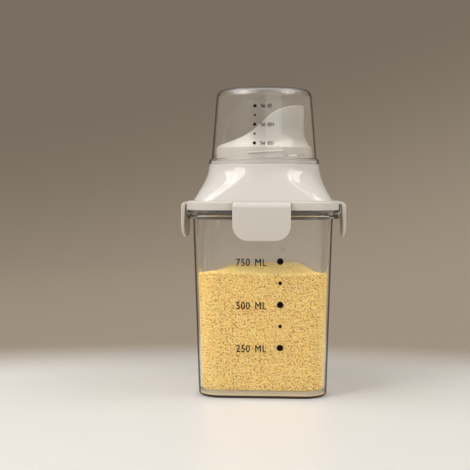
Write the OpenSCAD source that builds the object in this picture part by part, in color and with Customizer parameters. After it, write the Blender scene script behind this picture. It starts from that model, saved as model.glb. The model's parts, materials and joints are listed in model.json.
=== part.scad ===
// Square food jar with a snap-on funnel lid, a fixed pouring spout and a screw-on measuring cup,
// two thirds full of grits.
// Millimetres, +Z up, origin on the table under the middle of the jar. The front faces -Y.

/* [Jar] */
// Height of the jar up to its top edge
jar_h = 134.6; // [110:0.2:170]
// Width of the jar's body just under its shoulder ring
jar_top_w = 100.4; // [92:0.2:110]
// Width of the jar's body at the table
jar_base_w = 93; // [84:0.5:100]
// Corner radius of the jar's body, seen from above
jar_corner_r = 17; // [12:0.5:20]
// Wall of the jar
jar_wall = 2; // [1.4:0.1:2.6]
// Height of the jar's inside floor above the table
jar_floor_z = 4.3; // [3:0.1:6]
// Radius of the edge between the jar's walls and its base
jar_base_r = 5; // [3:0.5:7]
// Depth of the hollow under the jar
foot_recess = 1.2; // [0.6:0.1:1.6]
// Width of the foot that the jar stands on
foot_w = 3.6; // [2:0.2:6]
// How far the jar's lip and the lid's rim stand out past the jar's body
lip_out = 4.4; // [4:0.1:5.4]
// How far the jar's lip stands out past its neck
lip_reach = 2.8; // [2.2:0.1:3.2]
// Thickness of the jar's lip
lip_h = 1.6; // [1.2:0.1:2]
// Height of the groove under the lip, where the latches hook in
groove_h = 1.8; // [1.6:0.1:2.6]
// Height of the shoulder ring under the groove
ring_h = 2.6; // [2:0.1:4]

/* [Grits] */
// Height of the grits at the jar's walls, above the table
grits_level = 88; // [20:0.5:98]
// How far the grits rise in the middle
grits_heap = 6.5; // [1:0.5:9]

/* [Lid rim] */
// Height of the lid's rim
rim_h = 6.1; // [5.6:0.1:8]
// Thickness of the rim's bottom plate
plate_h = 1.4; // [1:0.1:1.6]
// Depth of the plug that reaches into the jar's mouth
plug_h = 6; // [3:0.5:10]
// Wall of the plug
plug_t = 1.8; // [1.2:0.1:2.4]
// Clearance between the lid's plug and the jar's mouth
plug_gap = 0.6; // [0.4:0.1:1]

/* [Gasket] */
// Width of the silicone gasket
gasket_w = 2.6; // [2:0.1:3]
// Thickness of the silicone gasket
gasket_h = 1.1; // [0.8:0.1:1.3]
// Gap between the rim and the jar's top edge, closed by the gasket
rim_gap = 0.3; // [0.2:0.05:0.5]

/* [Funnel] */
// Height of the funnel above the rim
funnel_h = 26.4; // [20:0.2:36]
// Wall of the rim between the funnel and a latch's notch
notch_wall = 1.3; // [1:0.1:2.4]
// Wall of the funnel
funnel_wall = 1.8; // [1.4:0.1:2.2]
// How strongly the funnel's side curves inwards
funnel_sweep = 1.5; // [1.2:0.1:2]
// Depth of the neck that holds the spout
neck_h = 10; // [7:0.5:14]
// Wall of the neck
neck_wall = 1.6; // [1.2:0.1:2]

/* [Spout] */
// Outer diameter of the collar
collar_d = 71.8; // [64:0.2:76]
// Height of the collar
collar_h = 12.3; // [11:0.1:16]
// Wall of the collar and the spout
spout_wall = 1.7; // [1.4:0.1:2.2]
// How far the beak stands in from the collar, all round
beak_in = 5.9; // [4:0.1:8]
// Height of the beak above the collar
beak_h = 31.2; // [24:0.2:40]
// Radius of the sweep from the collar into the beak
beak_sweep_r = 21; // [18:0.5:26]

/* [Thread] */
// How far each thread stands out from the collar
thread_reach = 0.95; // [0.6:0.05:1.1]
// Height of a thread at its root
thread_h = 1.7; // [1.2:0.1:2]
// Turn that one thread covers, in degrees
thread_turn = 44; // [30:1:50]
// Rise of one thread from its low end to its high end
thread_rise = 1.4; // [0.8:0.1:1.8]
// Turn that one lug of the cup covers, in degrees
lug_turn = 24; // [16:1:28]
// Number of threads round the collar
thread_count = 3; // [2:1:3]

/* [Cup] */
// Room between the spout's top and the inside of the cup
cup_headroom = 10.2; // [6:0.2:20]
// Room between the collar and the mouth of the cup
cup_room = 2.1; // [1.9:0.05:2.8]
// How much narrower the cup is at its closed end than at its mouth
cup_taper = 8.2; // [6:0.2:9]
// Wall of the cup
cup_wall = 1.75; // [1.5:0.05:2]
// Thickness of the cup's closed end
cup_floor = 1.8; // [1.4:0.1:3]
// Radius of the edge round the closed end
cup_edge_r = 5.5; // [3:0.5:8]
// How far the cup's rim band stands out past its wall
band_out = 1.65; // [1.5:0.05:3]
// Height of the rim band
band_h = 3.6; // [3.4:0.1:6]
// Gap between the band and the funnel, closed by the cup's seal
band_gap = 0.6; // [0.4:0.05:0.8]
// Width of the cup's seal
seal_w = 1.5; // [1.2:0.1:1.7]
// Height of the cup's seal
seal_h = 2.6; // [2:0.1:3]

/* [Latches] */
// Width of a latch
latch_w = 40.4; // [30:0.2:44]
// Height of a latch
latch_h = 27; // [22:0.2:34]
// Thickness of a latch's plate at its lower end
latch_t = 1.8; // [1.4:0.1:2.2]
// Thickness of a latch's plate at its upper end
latch_root_t = 3.2; // [2.6:0.1:3.4]
// How far the top of a latch slopes down towards its plate
latch_slope = 0.9; // [0.2:0.1:1.2]
// Distance from the lid's edge in to the hinge axis
hinge_in = 1.4; // [1.2:0.1:1.8]
// Distance from the lid's edge to the outside of a latch
latch_reach = 5.9; // [5.5:0.1:7]
// Radius of a latch's lower corners
latch_corner_r = 11; // [4:0.5:12]
// Radius of the hinge barrel
barrel_r = 1.5; // [1.3:0.1:1.7]
// Diameter of a hinge pin
pin_d = 1.2; // [1:0.1:1.4]
// Length of a pin's grip in the lid at each end
pin_grip = 1.6; // [1:0.1:2.4]
// Thickness of the hook under a latch
hook_t = 1.2; // [1:0.05:1.3]

/* [Hidden] */

corner_steps = 12;     // steps round one corner of the jar or the funnel
side_steps = 6;        // steps along one side of the funnel
side_turn = 15;        // half the turn that a side of the funnel takes up on its round top
arc_steps = 6;         // steps in a rounded edge
sweep_steps = 12;      // steps in a long curve
heap_steps = 10;       // steps from the wall to the middle of the heap
$fn = 96;

touch = 0.05;          // gap between pieces that rest on each other
fit = 0.15;            // gap round a piece that is pressed or dropped into another
swing_gap = 0.25;      // gap between a turning latch and the lid
side_gap = 0.3;        // gap beside a latch in its notch
collar_gap = 0.35;     // gap between the cup's lugs and the collar
band_lap = 0.2;        // how far the cup's band laps over the funnel's top
over = 1;              // how far a cut reaches past the material

floor_edge_r = jar_base_r - 1;                  // rounding between the jar's walls and its inside floor
rim_w = jar_top_w + 2 * lip_out;
rim_corner_r = jar_corner_r + lip_out;
lip_w = rim_w;                                  // the jar's lip is flush with the lid's rim
neck_w = lip_w - 2 * lip_reach;
lip_z = jar_h - lip_h;
ring_top_z = lip_z - groove_h;
ring_z = ring_top_z - ring_h;
edge_r = 0.5;                                   // rounding of the lip and the ring
ring_w = lip_w + 0.6;
draft = (jar_top_w - jar_base_w) / 2 / ring_z;  // how far a wall leans out per millimetre of height

rim_z = jar_h + rim_gap;
rim_top_z = rim_z + rim_h;
seat_z = rim_z + plate_h;                       // the funnel stands here, inside the rim
mouth_w = jar_top_w - 2 * jar_wall;
plug_w = mouth_w - 2 * plug_gap;

hinge_u = rim_w / 2 - hinge_in;                 // hinge axis, measured out from the middle
hinge_z = rim_top_z - barrel_r - 0.1;
notch_u = hinge_u - barrel_r - swing_gap;
funnel_hole_w = 2 * (notch_u - notch_wall);
funnel_base_w = funnel_hole_w - 2 * fit;
funnel_base_r = rim_corner_r - (rim_w - funnel_base_w) / 2;

funnel_top_z = rim_top_z + funnel_h;
neck_d = collar_d - 2 * spout_wall + 2 * fit;   // bore of the funnel's neck
skirt_d = neck_d - 2 * fit;                     // the spout's skirt goes into that bore
collar_z = funnel_top_z + touch;
collar_top_z = collar_z + collar_h;
beak_top_z = collar_top_z + beak_h;
beak_d = collar_d - 2 * beak_in;

cup_z = funnel_top_z + band_gap;
cup_top_z = beak_top_z + cup_headroom + cup_floor;
bore_r = collar_d / 2 + cup_room;               // inside of the cup at its mouth
band_d = 2 * (bore_r + cup_wall + band_out);
funnel_top_d = band_d - 2 * band_lap;
seal_mid_r = (bore_r + band_d / 2) / 2;
thread_z = collar_top_z - 4.2;                  // middle of a thread at its low end
lug_reach = cup_room - collar_gap;
lug_h = 1.5;
lug_top_z = thread_z - thread_h / 2 - 0.15;
thread_start = -90 - 0.42 * thread_turn;        // low end of the first thread, at the front
lug_start = thread_start + thread_turn + 3;     // the lugs wait just past the threads' high ends

notch_w = latch_w + 2 * side_gap;
plate_u = rim_w / 2 + latch_reach;              // outside of a latch's plate
web_t = barrel_r + 0.1;
shoulder_r = 3.2;
latch_top_z = hinge_z + barrel_r;
latch_z = latch_top_z - latch_h;
tip_h = 12;                                     // the end of the plate curls in
tip_in = 0.9;
hook_top_z = lip_z - 0.1;
hook_u = lip_w / 2 + 0.15;                      // tip of the hook, just clear of the jar's lip
strut_u = rim_w / 2 + 1.4;
strut_t = 1.4;
hook_margin = 3;                                // the hook stops short of the latch's ends

// Corners of a rounded square w across, at height z.
function ring(z, w, r) = [for (q = [0 : 3]) for (i = [0 : corner_steps])
    let (c = w / 2 - r, a = 90 * (q + i / corner_steps), m = 90 * q + 45)
    [c * sign(cos(m)) + r * cos(a), c * sign(sin(m)) + r * sin(a), z]];

// Corners of a section between a rounded square (part = 0) and a circle (part = 1), both w across.
function morph(z, w, r, part) = [for (q = [0 : 3]) for (i = [0 : corner_steps + side_steps - 1])
    let (c = w / 2 - r, m = 90 * q + 45, a = 90 * (q + min(1, i / corner_steps)),
         s = max(0, i - corner_steps) / side_steps,
         slide = 2 * c * s,
         x = c * sign(cos(m)) + r * cos(a) - slide * cos(90 * q),
         y = c * sign(sin(m)) + r * sin(a) - slide * sin(90 * q),
         turn = 90 * q + (i <= corner_steps ? side_turn + (90 - 2 * side_turn) * i / corner_steps
             : 90 - side_turn + 2 * side_turn * s))
    [x * (1 - part) + w / 2 * cos(turn) * part, y * (1 - part) + w / 2 * sin(turn) * part, z]];

// Faces between the rings first and next of n corners each.
function band_faces(first, next, n) = [for (i = [0 : n - 1])
    let (j = (i + 1) % n)
    for (t = [[first * n + i, next * n + j, first * n + j],
              [first * n + i, next * n + i, next * n + j]]) t];

// A solid whose surface runs through rings and closes on itself.
module ring_tube(rings) {
    count = len(rings);
    polyhedron([for (g = rings) for (p = g) p],
        [for (k = [0 : count - 1]) for (f = band_faces(k, (k + 1) % count, len(rings[0]))) f]);
}

// The same, but closed by a flat face at its first and its last ring.
module ring_vessel(rings) {
    count = len(rings);
    n = len(rings[0]);
    start = count * n;
    polyhedron(concat([for (g = rings) for (p = g) p],
            [[0, 0, rings[0][0][2]], [0, 0, rings[count - 1][0][2]]]),
        concat(
            [for (i = [0 : n - 1]) [start, i, (i + 1) % n]],
            [for (k = [0 : count - 2]) for (f = band_faces(k, k + 1, n)) f],
            [for (i = [0 : n - 1]) [start + 1, (count - 1) * n + (i + 1) % n, (count - 1) * n + i]]));
}

// A flat plate with the outline of a rounded square.
module plate(z, h, w, r) {
    translate([0, 0, z]) linear_extrude(height = h) {
        square([w, w - 2 * r], center = true);
        square([w - 2 * r, w], center = true);
        for (x = [-1, 1]) for (y = [-1, 1]) translate([x, y] * (w / 2 - r)) circle(r = r);
    }
}

// Turns a piece that was drawn for the front to side k: 0 front, 1 right, 2 back, 3 left.
module at_side(k) {
    rotate([0, 0, 90 * k]) children();
}

// Extrudes a profile drawn as [out from the middle, height] along a side of the lid.
module along_side(length) {
    rotate([90, 0, 90]) translate([0, 0, -length / 2]) linear_extrude(height = length)
        mirror([1, 0]) children();
}

// Width of the jar's body at height z.
function body_w(z) = jar_base_w + 2 * draft * z;
function body_r(w) = jar_corner_r + (w - body_w(ring_z)) / 2;

// Steps round a quarter circle, from 0 to 90 degrees.
function quarter(steps) = [for (i = [0 : steps]) i * 90 / steps];

module jar() {
    inner_r = floor_edge_r;
    outside = [for (a = quarter(arc_steps))
        let (z = jar_base_r * (1 - cos(a)), w = body_w(z) - 2 * jar_base_r * (1 - sin(a)))
        [z, w, max(4, jar_corner_r - jar_base_r * (1 - sin(a)))]];
    inside = [for (a = quarter(arc_steps))
        let (z = jar_floor_z + inner_r * (1 - sin(a)),
             w = body_w(z) - 2 * jar_wall - 2 * inner_r * (1 - cos(a)))
        [z, w, max(4, jar_corner_r - jar_wall - inner_r * (1 - cos(a)))]];
    foot_out = outside[0][1];
    ring_levels = [
        [ring_z, body_w(ring_z), jar_corner_r],
        [ring_z, ring_w - 2 * edge_r, body_r(ring_w - 2 * edge_r)],
        [ring_z + edge_r, ring_w, body_r(ring_w)],
        [ring_top_z - edge_r, ring_w, body_r(ring_w)],
        [ring_top_z, ring_w - 2 * edge_r, body_r(ring_w - 2 * edge_r)],
        [ring_top_z, neck_w, body_r(neck_w)]];
    lip_levels = [
        [lip_z, neck_w, body_r(neck_w)],
        [lip_z, lip_w - edge_r, body_r(lip_w - edge_r)],
        [lip_z + edge_r / 2, lip_w, body_r(lip_w)],
        [jar_h - edge_r / 2, lip_w, body_r(lip_w)],
        [jar_h, lip_w - edge_r, body_r(lip_w - edge_r)],
        [jar_h, mouth_w, jar_corner_r - jar_wall],
        [ring_z, mouth_w, jar_corner_r - jar_wall]];
    foot = [
        [foot_recess, foot_out - 2 * foot_w - 2, jar_corner_r - jar_base_r - foot_w],
        [0, foot_out - 2 * foot_w, jar_corner_r - jar_base_r - foot_w + 1]];
    color([0.86, 0.88, 0.88, 0.35]) ring_vessel([for (l = concat(foot, outside, ring_levels,
        lip_levels, inside)) ring(l[0], l[1], l[2])]);
}

// The grits as one mass: it fills the jar from wall to wall and is heaped up in the middle.
module grits() {
    floor_z = jar_floor_z + touch;
    inner_r = floor_edge_r;
    inset = jar_wall + fit;
    wall_w = body_w(grits_level) - 2 * inset;
    corner_r = jar_corner_r - inset;
    base = [for (a = quarter(arc_steps))
        let (z = floor_z + inner_r * (1 - cos(a)),
             w = body_w(z) - 2 * inset - 2 * inner_r * (1 - sin(a)))
        [z, w, max(4, corner_r - inner_r * (1 - sin(a)))]];
    heap = [for (i = [0 : heap_steps - 1])
        let (share = 1 - i / heap_steps)
        [grits_level + grits_heap * (1 - share * share), wall_w * share, corner_r * share]];
    color([0.88, 0.68, 0.32])
        ring_vessel([for (l = concat(base, heap)) ring(l[0], l[1], l[2])]);
}

// The notch that a latch's barrel turns in, with the bores for its pin.
module hinge_cut() {
    translate([-notch_w / 2, -rim_w / 2 - over, seat_z])
        cube([notch_w, rim_w / 2 + over - notch_u, rim_h]);
    translate([-notch_w / 2 - pin_grip, -hinge_u, hinge_z]) rotate([0, 90, 0])
        cylinder(d = pin_d + 0.04, h = notch_w + 2 * pin_grip);
}

module lid_rim() {
    color([0.89, 0.87, 0.83]) difference() {
        union() {
            plate(rim_z, rim_h, rim_w, rim_corner_r);
            plate(rim_z - plug_h, plug_h + plate_h, plug_w, jar_corner_r - jar_wall - plug_gap);
        }
        plate(seat_z, rim_h, funnel_hole_w, rim_corner_r - (rim_w - funnel_hole_w) / 2);
        plate(rim_z - plug_h - over, plug_h + plate_h + 2 * over, plug_w - 2 * plug_t,
            jar_corner_r - jar_wall - plug_gap - plug_t);
        gasket_groove(over);
        for (k = [0 : 3]) at_side(k) hinge_cut();
    }
}

// The groove under the rim. It runs down past the rim by down.
module gasket_groove(down) {
    groove_w = plug_w + 2 * gasket_w + 4 * fit;
    difference() {
        plate(rim_z - down, gasket_h - rim_gap + touch + down, groove_w,
            body_r(groove_w));
        plate(rim_z - down - over, gasket_h + down + 2 * over, plug_w,
            jar_corner_r - jar_wall - plug_gap);
    }
}

module lid_gasket() {
    inner_w = plug_w + 2 * fit;
    outer_w = inner_w + 2 * gasket_w;
    color([0.93, 0.93, 0.92]) difference() {
        plate(jar_h, gasket_h, outer_w, body_r(outer_w));
        plate(jar_h - over, gasket_h + 2 * over, inner_w, body_r(inner_w));
    }
}

// Width of the funnel's outside at height z.
function funnel_w(z) =
    let (t = max(0, funnel_top_z - z) / funnel_h)
    z <= rim_top_z ? funnel_base_w
        : funnel_top_d + (funnel_base_w - funnel_top_d) * pow(t, funnel_sweep);

// How far the funnel's section has turned from a rounded square into a circle at height z.
function roundness(z) =
    let (t = max(0, min(1, (z - rim_top_z) / (funnel_h - funnel_wall)))) t * t * (3 - 2 * t);

module funnel() {
    top_edge = 0.6;
    up = [for (i = [0 : sweep_steps])
        let (z = rim_top_z + (funnel_h - top_edge) * i / sweep_steps)
        [z, funnel_w(z), funnel_base_r, roundness(z)]];
    down = [for (i = [sweep_steps : -1 : 0])
        let (z = rim_top_z + (funnel_h - funnel_wall) * i / sweep_steps)
        [z, funnel_w(z) - 2 * funnel_wall, funnel_base_r - funnel_wall, roundness(z)]];
    neck_top = [
        [funnel_top_z, funnel_top_d - 2 * top_edge, funnel_base_r, 1],
        [funnel_top_z, neck_d, funnel_base_r, 1],
        [funnel_top_z - neck_h, neck_d, funnel_base_r, 1],
        [funnel_top_z - neck_h, neck_d + 2 * neck_wall, funnel_base_r, 1],
        [funnel_top_z - funnel_wall, neck_d + 2 * neck_wall, funnel_base_r, 1]];
    levels = concat(
        [[seat_z, funnel_base_w, funnel_base_r, 0]], up, neck_top, down,
        [[seat_z, funnel_base_w - 2 * funnel_wall, funnel_base_r - funnel_wall, 0]]);
    color([0.9, 0.88, 0.85]) ring_tube([for (l = levels) morph(l[0], l[1], l[2], l[3])]);
}

// Outside radius of the collar and the beak at height z.
function beak_r(z) =
    let (start = collar_top_z,
         lean = collar_d / 2 - beak_d / 2,
         top = start + sqrt(max(0, beak_sweep_r * beak_sweep_r - pow(beak_sweep_r - lean, 2))),
         d = max(0, top - z))
    beak_d / 2 + beak_sweep_r - sqrt(beak_sweep_r * beak_sweep_r - d * d);

// Height of the spout's rim at x, along a curve that starts low on the left and ends high on the right.
function bezier(p, t) = pow(1 - t, 3) * p[0] + 3 * t * pow(1 - t, 2) * p[1]
    + 3 * t * t * (1 - t) * p[2] + pow(t, 3) * p[3];

module spout_blank() {
    outer = [for (i = [0 : sweep_steps])
        let (z = collar_top_z + (beak_h + over) * i / sweep_steps) [beak_r(z), z]];
    inner = [for (i = [sweep_steps : -1 : 0])
        let (z = collar_top_z + (beak_h + over) * i / sweep_steps) [beak_r(z) - spout_wall, z]];
    rotate_extrude() polygon(concat(
        [[skirt_d / 2, collar_z - neck_h], [skirt_d / 2, collar_z], [collar_d / 2, collar_z],
         [collar_d / 2, collar_top_z]],
        [for (i = [1 : sweep_steps]) outer[i]],
        inner,
        [[collar_d / 2 - spout_wall, collar_z + 1.5], [skirt_d / 2 - spout_wall, collar_z - 1],
         [skirt_d / 2 - spout_wall, collar_z - neck_h]]));
}

// Everything under the spout's rim, seen from the front.
module under_rim() {
    low = collar_top_z + 1.15;
    collar_r = collar_d / 2;
    curve_x = [-collar_r, 0.3 * collar_r, -0.235 * collar_r, beak_d / 2];
    curve_z = [low, low + 0.305 * beak_h, beak_top_z - 0.09 * beak_h, beak_top_z];
    side = collar_d;
    translate([0, side, 0]) rotate([90, 0, 0]) linear_extrude(height = 2 * side)
        polygon(concat(
            [[side, 0], [side, beak_top_z]],
            [for (i = [2 * sweep_steps : -1 : 0])
                let (t = i / (2 * sweep_steps)) [bezier(curve_x, t), bezier(curve_z, t)]],
            [[-side, low], [-side, 0]]));
}

// One sloping thread: a short helical ridge with flat ends.
module thread_ridge(steps = 12) {
    root = collar_d / 2 - 0.3;
    tip = collar_d / 2 + thread_reach;
    section = [[root, -thread_h / 2], [tip, -thread_h * 0.3], [tip, thread_h * 0.3],
        [root, thread_h / 2]];
    // The low end starts small and grows to the full section.
    points = [for (i = [0 : steps])
        let (a = thread_turn * i / steps, z = thread_z + thread_rise * i / steps,
             grow = min(1, 0.4 + 0.6 * i / 4))
        for (s = section)
            let (r = root + (s[0] - root) * grow) [r * cos(a), r * sin(a), z + s[1] * grow]];
    faces = concat(
        [[3, 2, 1, 0]],
        [for (i = [0 : steps - 1]) for (k = [0 : 3])
            let (m = (k + 1) % 4, p = 4 * i, q = 4 * (i + 1))
            for (t = [[p + k, q + m, q + k], [p + k, p + m, q + m]]) t],
        [[4 * steps, 4 * steps + 1, 4 * steps + 2, 4 * steps + 3]]);
    polyhedron(points, faces);
}

module spout() {
    color([0.9, 0.88, 0.84]) {
        union() {
            intersection() {
                spout_blank();
                under_rim();
            }
            for (k = [0 : thread_count - 1])
                rotate([0, 0, thread_start + 360 * k / thread_count]) thread_ridge();
        }
    }
}

// Outside radius of the cup at height z, above its rim band.
function cup_r(z) = bore_r + cup_wall
    - cup_taper / 2 * (z - cup_z) / (cup_top_z - cup_z - cup_edge_r);

module cup() {
    edge_z = cup_top_z - cup_edge_r;
    inner_edge_r = cup_edge_r - 1;
    inner_edge_z = cup_top_z - cup_floor - inner_edge_r;
    outside = [for (a = quarter(arc_steps))
        [cup_r(edge_z) - cup_edge_r * (1 - cos(a)), edge_z + cup_edge_r * sin(a)]];
    inside = [for (a = quarter(arc_steps))
        [cup_r(inner_edge_z) - cup_wall - inner_edge_r * (1 - sin(a)),
         inner_edge_z + inner_edge_r * cos(a)]];
    color([0.84, 0.85, 0.85, 0.3]) union() {
        difference() {
            rotate_extrude() polygon(concat(
                [[bore_r, cup_z], [band_d / 2, cup_z], [band_d / 2 - 0.3, cup_z + band_h],
                 [cup_r(cup_z + band_h), cup_z + band_h]],
                outside,
                [[0, cup_top_z], [0, cup_top_z - cup_floor]],
                inside));
            translate([0, 0, cup_z - over]) difference() {
                cylinder(r = seal_mid_r + seal_w / 2 + 0.1, h = over + seal_h - band_gap + touch);
                translate([0, 0, -over])
                    cylinder(r = seal_mid_r - seal_w / 2 - 0.1, h = seal_h + 3 * over);
            }
        }
        for (k = [0 : thread_count - 1]) rotate([0, 0, lug_start + 360 * k / thread_count])
            cup_lug();
    }
}

// One lug inside the cup. It turns in under a thread.
module cup_lug() {
    rotate_extrude(angle = lug_turn) polygon([
        [bore_r - lug_reach, lug_top_z - lug_h * 0.8], [bore_r - lug_reach, lug_top_z - lug_h * 0.2],
        [bore_r + 0.3, lug_top_z], [bore_r + 0.3, lug_top_z - lug_h]]);
}

module cup_seal() {
    color([0.92, 0.92, 0.9]) translate([0, 0, funnel_top_z]) difference() {
        cylinder(r = seal_mid_r + seal_w / 2, h = seal_h);
        translate([0, 0, -over]) cylinder(r = seal_mid_r - seal_w / 2, h = seal_h + 2 * over);
    }
}

// How far a latch's plate has curled in, at a height above its lower end.
function curl(rise) = tip_in * pow(max(0, 1 - rise / tip_h), 2);

// Thickness of a latch's plate at a height above its lower end.
function plate_t(rise) = latch_t + (latch_root_t - latch_t) * rise / (latch_h - web_t - latch_slope);

// Side view of a latch without its hook: web, shoulder and plate.
module latch_profile() {
    round_u = plate_u - shoulder_r;
    round_z = latch_top_z - latch_slope - shoulder_r;
    web_z = latch_top_z - web_t;
    edge = 0.5;
    rises = [for (i = [0 : arc_steps]) edge + (tip_h - edge) * i / arc_steps];
    polygon(concat(
        [[hinge_u, web_z], [hinge_u, latch_top_z]],
        [for (a = quarter(arc_steps)) [round_u + shoulder_r * sin(a), round_z + shoulder_r * cos(a)]],
        [for (i = [arc_steps : -1 : 0]) [plate_u - curl(rises[i]), latch_z + rises[i]]],
        [[plate_u - curl(0) - edge, latch_z], [plate_u - curl(0) - latch_t + edge, latch_z]],
        [for (rise = rises) [plate_u - curl(rise) - plate_t(rise), latch_z + rise]],
        [[plate_u - latch_root_t, web_z - latch_slope]]));
}

module hook_profile() {
    root_z = latch_top_z - web_t - latch_slope / 2 + 0.2;
    hook_z = hook_top_z - hook_t;
    polygon([[strut_u, root_z], [strut_u, hook_top_z], [hook_u, hook_top_z],
        [hook_u, hook_z + 0.3], [hook_u + 0.3, hook_z], [strut_u + strut_t, hook_z],
        [strut_u + strut_t, root_z]]);
}

// The plate's outline from outside: square at the top, round at its lower corners.
module latch_outline() {
    translate([-latch_w / 2, latch_z + latch_corner_r])
        square([latch_w, latch_h + 2 * barrel_r]);
    translate([-latch_w / 2 + latch_corner_r, latch_z])
        square([latch_w - 2 * latch_corner_r, latch_corner_r + over]);
    for (side = [-1, 1])
        translate([side * (latch_w / 2 - latch_corner_r), latch_z + latch_corner_r])
            circle(r = latch_corner_r);
}

module latch() {
    color([0.88, 0.86, 0.82]) difference() {
        union() {
            intersection() {
                along_side(latch_w) latch_profile();
                rotate([90, 0, 0]) linear_extrude(height = 2 * plate_u)
                    latch_outline();
            }
            along_side(latch_w - 2 * hook_margin) hook_profile();
            translate([-latch_w / 2, -hinge_u, hinge_z]) rotate([0, 90, 0])
                cylinder(r = barrel_r, h = latch_w);
        }
        translate([-latch_w / 2 - over, -hinge_u, hinge_z]) rotate([0, 90, 0])
            cylinder(d = pin_d + 0.12, h = latch_w + 2 * over);
    }
}

module pin() {
    length = notch_w + 2 * pin_grip - 0.4;
    color([0.75, 0.75, 0.77]) translate([-length / 2, -hinge_u, hinge_z]) rotate([0, 90, 0])
        cylinder(d = pin_d, h = length);
}

jar();
grits();
lid_rim();
lid_gasket();
funnel();
spout();
cup();
cup_seal();
at_side(0) latch();  // latch_front
at_side(1) latch();  // latch_right
at_side(2) latch();  // latch_back
at_side(3) latch();  // latch_left
at_side(0) pin();  // pin_front
at_side(1) pin();  // pin_right
at_side(2) pin();  // pin_back
at_side(3) pin();  // pin_left
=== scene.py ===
"""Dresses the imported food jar: a clear jar of grits, a latched lid with a funnel, a pouring spout and a measuring cup.

Lengths are in metres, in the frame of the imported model: +Z is up and the front with the printed scale faces -Y.
"""

import json
import math
from bisect import bisect
from contextlib import contextmanager
from types import SimpleNamespace

import bmesh
import bpy
from bpy.props import (
    BoolProperty,
    FloatProperty,
    FloatVectorProperty,
    IntProperty,
    PointerProperty,
)
from bpy.types import Operator, Panel, PropertyGroup
from mathutils import Matrix, Vector

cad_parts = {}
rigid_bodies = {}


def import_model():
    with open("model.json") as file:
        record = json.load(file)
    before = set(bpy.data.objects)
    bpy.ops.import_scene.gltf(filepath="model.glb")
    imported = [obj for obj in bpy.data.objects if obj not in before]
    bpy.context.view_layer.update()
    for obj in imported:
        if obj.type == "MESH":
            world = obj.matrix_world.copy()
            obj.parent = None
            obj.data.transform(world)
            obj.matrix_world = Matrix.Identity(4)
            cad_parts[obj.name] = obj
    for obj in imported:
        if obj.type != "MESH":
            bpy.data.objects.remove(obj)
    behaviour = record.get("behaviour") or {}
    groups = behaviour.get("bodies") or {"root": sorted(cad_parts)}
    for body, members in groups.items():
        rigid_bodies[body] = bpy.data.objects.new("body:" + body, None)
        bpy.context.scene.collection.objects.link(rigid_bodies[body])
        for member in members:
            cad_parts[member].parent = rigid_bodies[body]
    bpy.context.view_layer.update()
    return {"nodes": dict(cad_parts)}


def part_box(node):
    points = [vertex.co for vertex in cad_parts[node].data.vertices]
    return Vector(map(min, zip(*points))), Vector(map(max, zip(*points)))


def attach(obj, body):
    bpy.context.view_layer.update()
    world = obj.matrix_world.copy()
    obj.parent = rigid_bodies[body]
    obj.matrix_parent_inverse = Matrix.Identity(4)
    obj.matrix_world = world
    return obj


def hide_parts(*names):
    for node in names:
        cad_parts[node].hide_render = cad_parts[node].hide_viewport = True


bl_info = {
    "name": "Latched food jar with a measuring cup",
    "version": (1, 0, 0),
    "blender": (4, 5, 0),
    "location": "3D View > Sidebar > Food jar",
    "description": "Builds the clear jar, its lid, spout, cup, printed scales and grits around the packed model",
    "category": "Object",
}

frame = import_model()
MM = 0.001
QUARTER = math.radians(90)
SIDES = ("front", "right", "back", "left")
CORNER_STEPS = 16  # round a quarter of a rounded square
TURN_STEPS = 160  # round a full circle
SAME_PLACE = 1e-7  # points closer than this are merged
FIT_GAP = 0.15 * MM  # beside a piece that is pushed into another, and over the cup's lugs
REST_GAP = 0.05 * MM  # between pieces that lie on each other
PRINT_GAP = 0.012 * MM  # under a printed scale
BARREL_DROP = 0.1 * MM  # from the rim's top down to a hinge barrel
THREAD_DROP = 4.2 * MM  # from the collar's top down to the start of a thread
THREAD_LEFT = 0.42  # share of the front thread that lies left of the middle
BAND_PAST = 0.2 * MM  # how far the cup's band stands out past the funnel
ROOM_LIGHT = (1, 0.97, 0.93, 1)


# ---------------------------------------------------------------- sizes and colours that a user may change


def length(name, millimetres, description):
    """A length setting, given in millimetres and kept in metres."""
    return FloatProperty(
        name=name, description=description, default=millimetres * MM, min=0, precision=5, unit="LENGTH"
    )


def turn(name, degrees, description):
    """An angle setting, given in degrees."""
    return FloatProperty(name=name, description=description, default=math.radians(degrees), subtype="ANGLE")


def tint(name, rgb, description):
    """A colour setting."""
    return FloatVectorProperty(name=name, description=description, default=rgb, min=0, max=1, subtype="COLOR")


def power(name, watts, description):
    """The power of a lamp."""
    return FloatProperty(name=name, description=description, default=watts, unit="POWER")


class JarSizes(PropertyGroup):
    """The clear jar."""

    top_width: length("Top width", 100.4, "Width of the body just under the shoulder ring")
    base_width: length("Base width", 93, "Width of the body at the table")
    corner_radius: length("Corner radius", 17, "Corner radius seen from above")
    wall: length("Wall", 2, "Thickness of the wall")
    floor_height: length("Floor height", 4.3, "Height of the inside floor above the table")
    base_radius: length("Base radius", 5, "Radius of the edge between the walls and the base")
    inner_radius: length("Inner radius", 1.6, "Radius of the edge between the walls and the inside floor")
    foot_width: length("Foot width", 3.6, "Width of the ring that the jar stands on")
    foot_recess: length("Foot recess", 1.2, "Depth of the hollow under the jar")
    lip_out: length("Lip overhang", 4.4, "How far the lip stands out past the body")
    lip_reach: length("Lip reach", 2.8, "How far the lip stands out past the neck")
    lip_height: length("Lip height", 1.6, "Thickness of the lip")
    groove_height: length("Groove height", 1.8, "Height of the groove that the latches hook into")
    ring_height: length("Ring height", 2.6, "Height of the shoulder ring")


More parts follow.
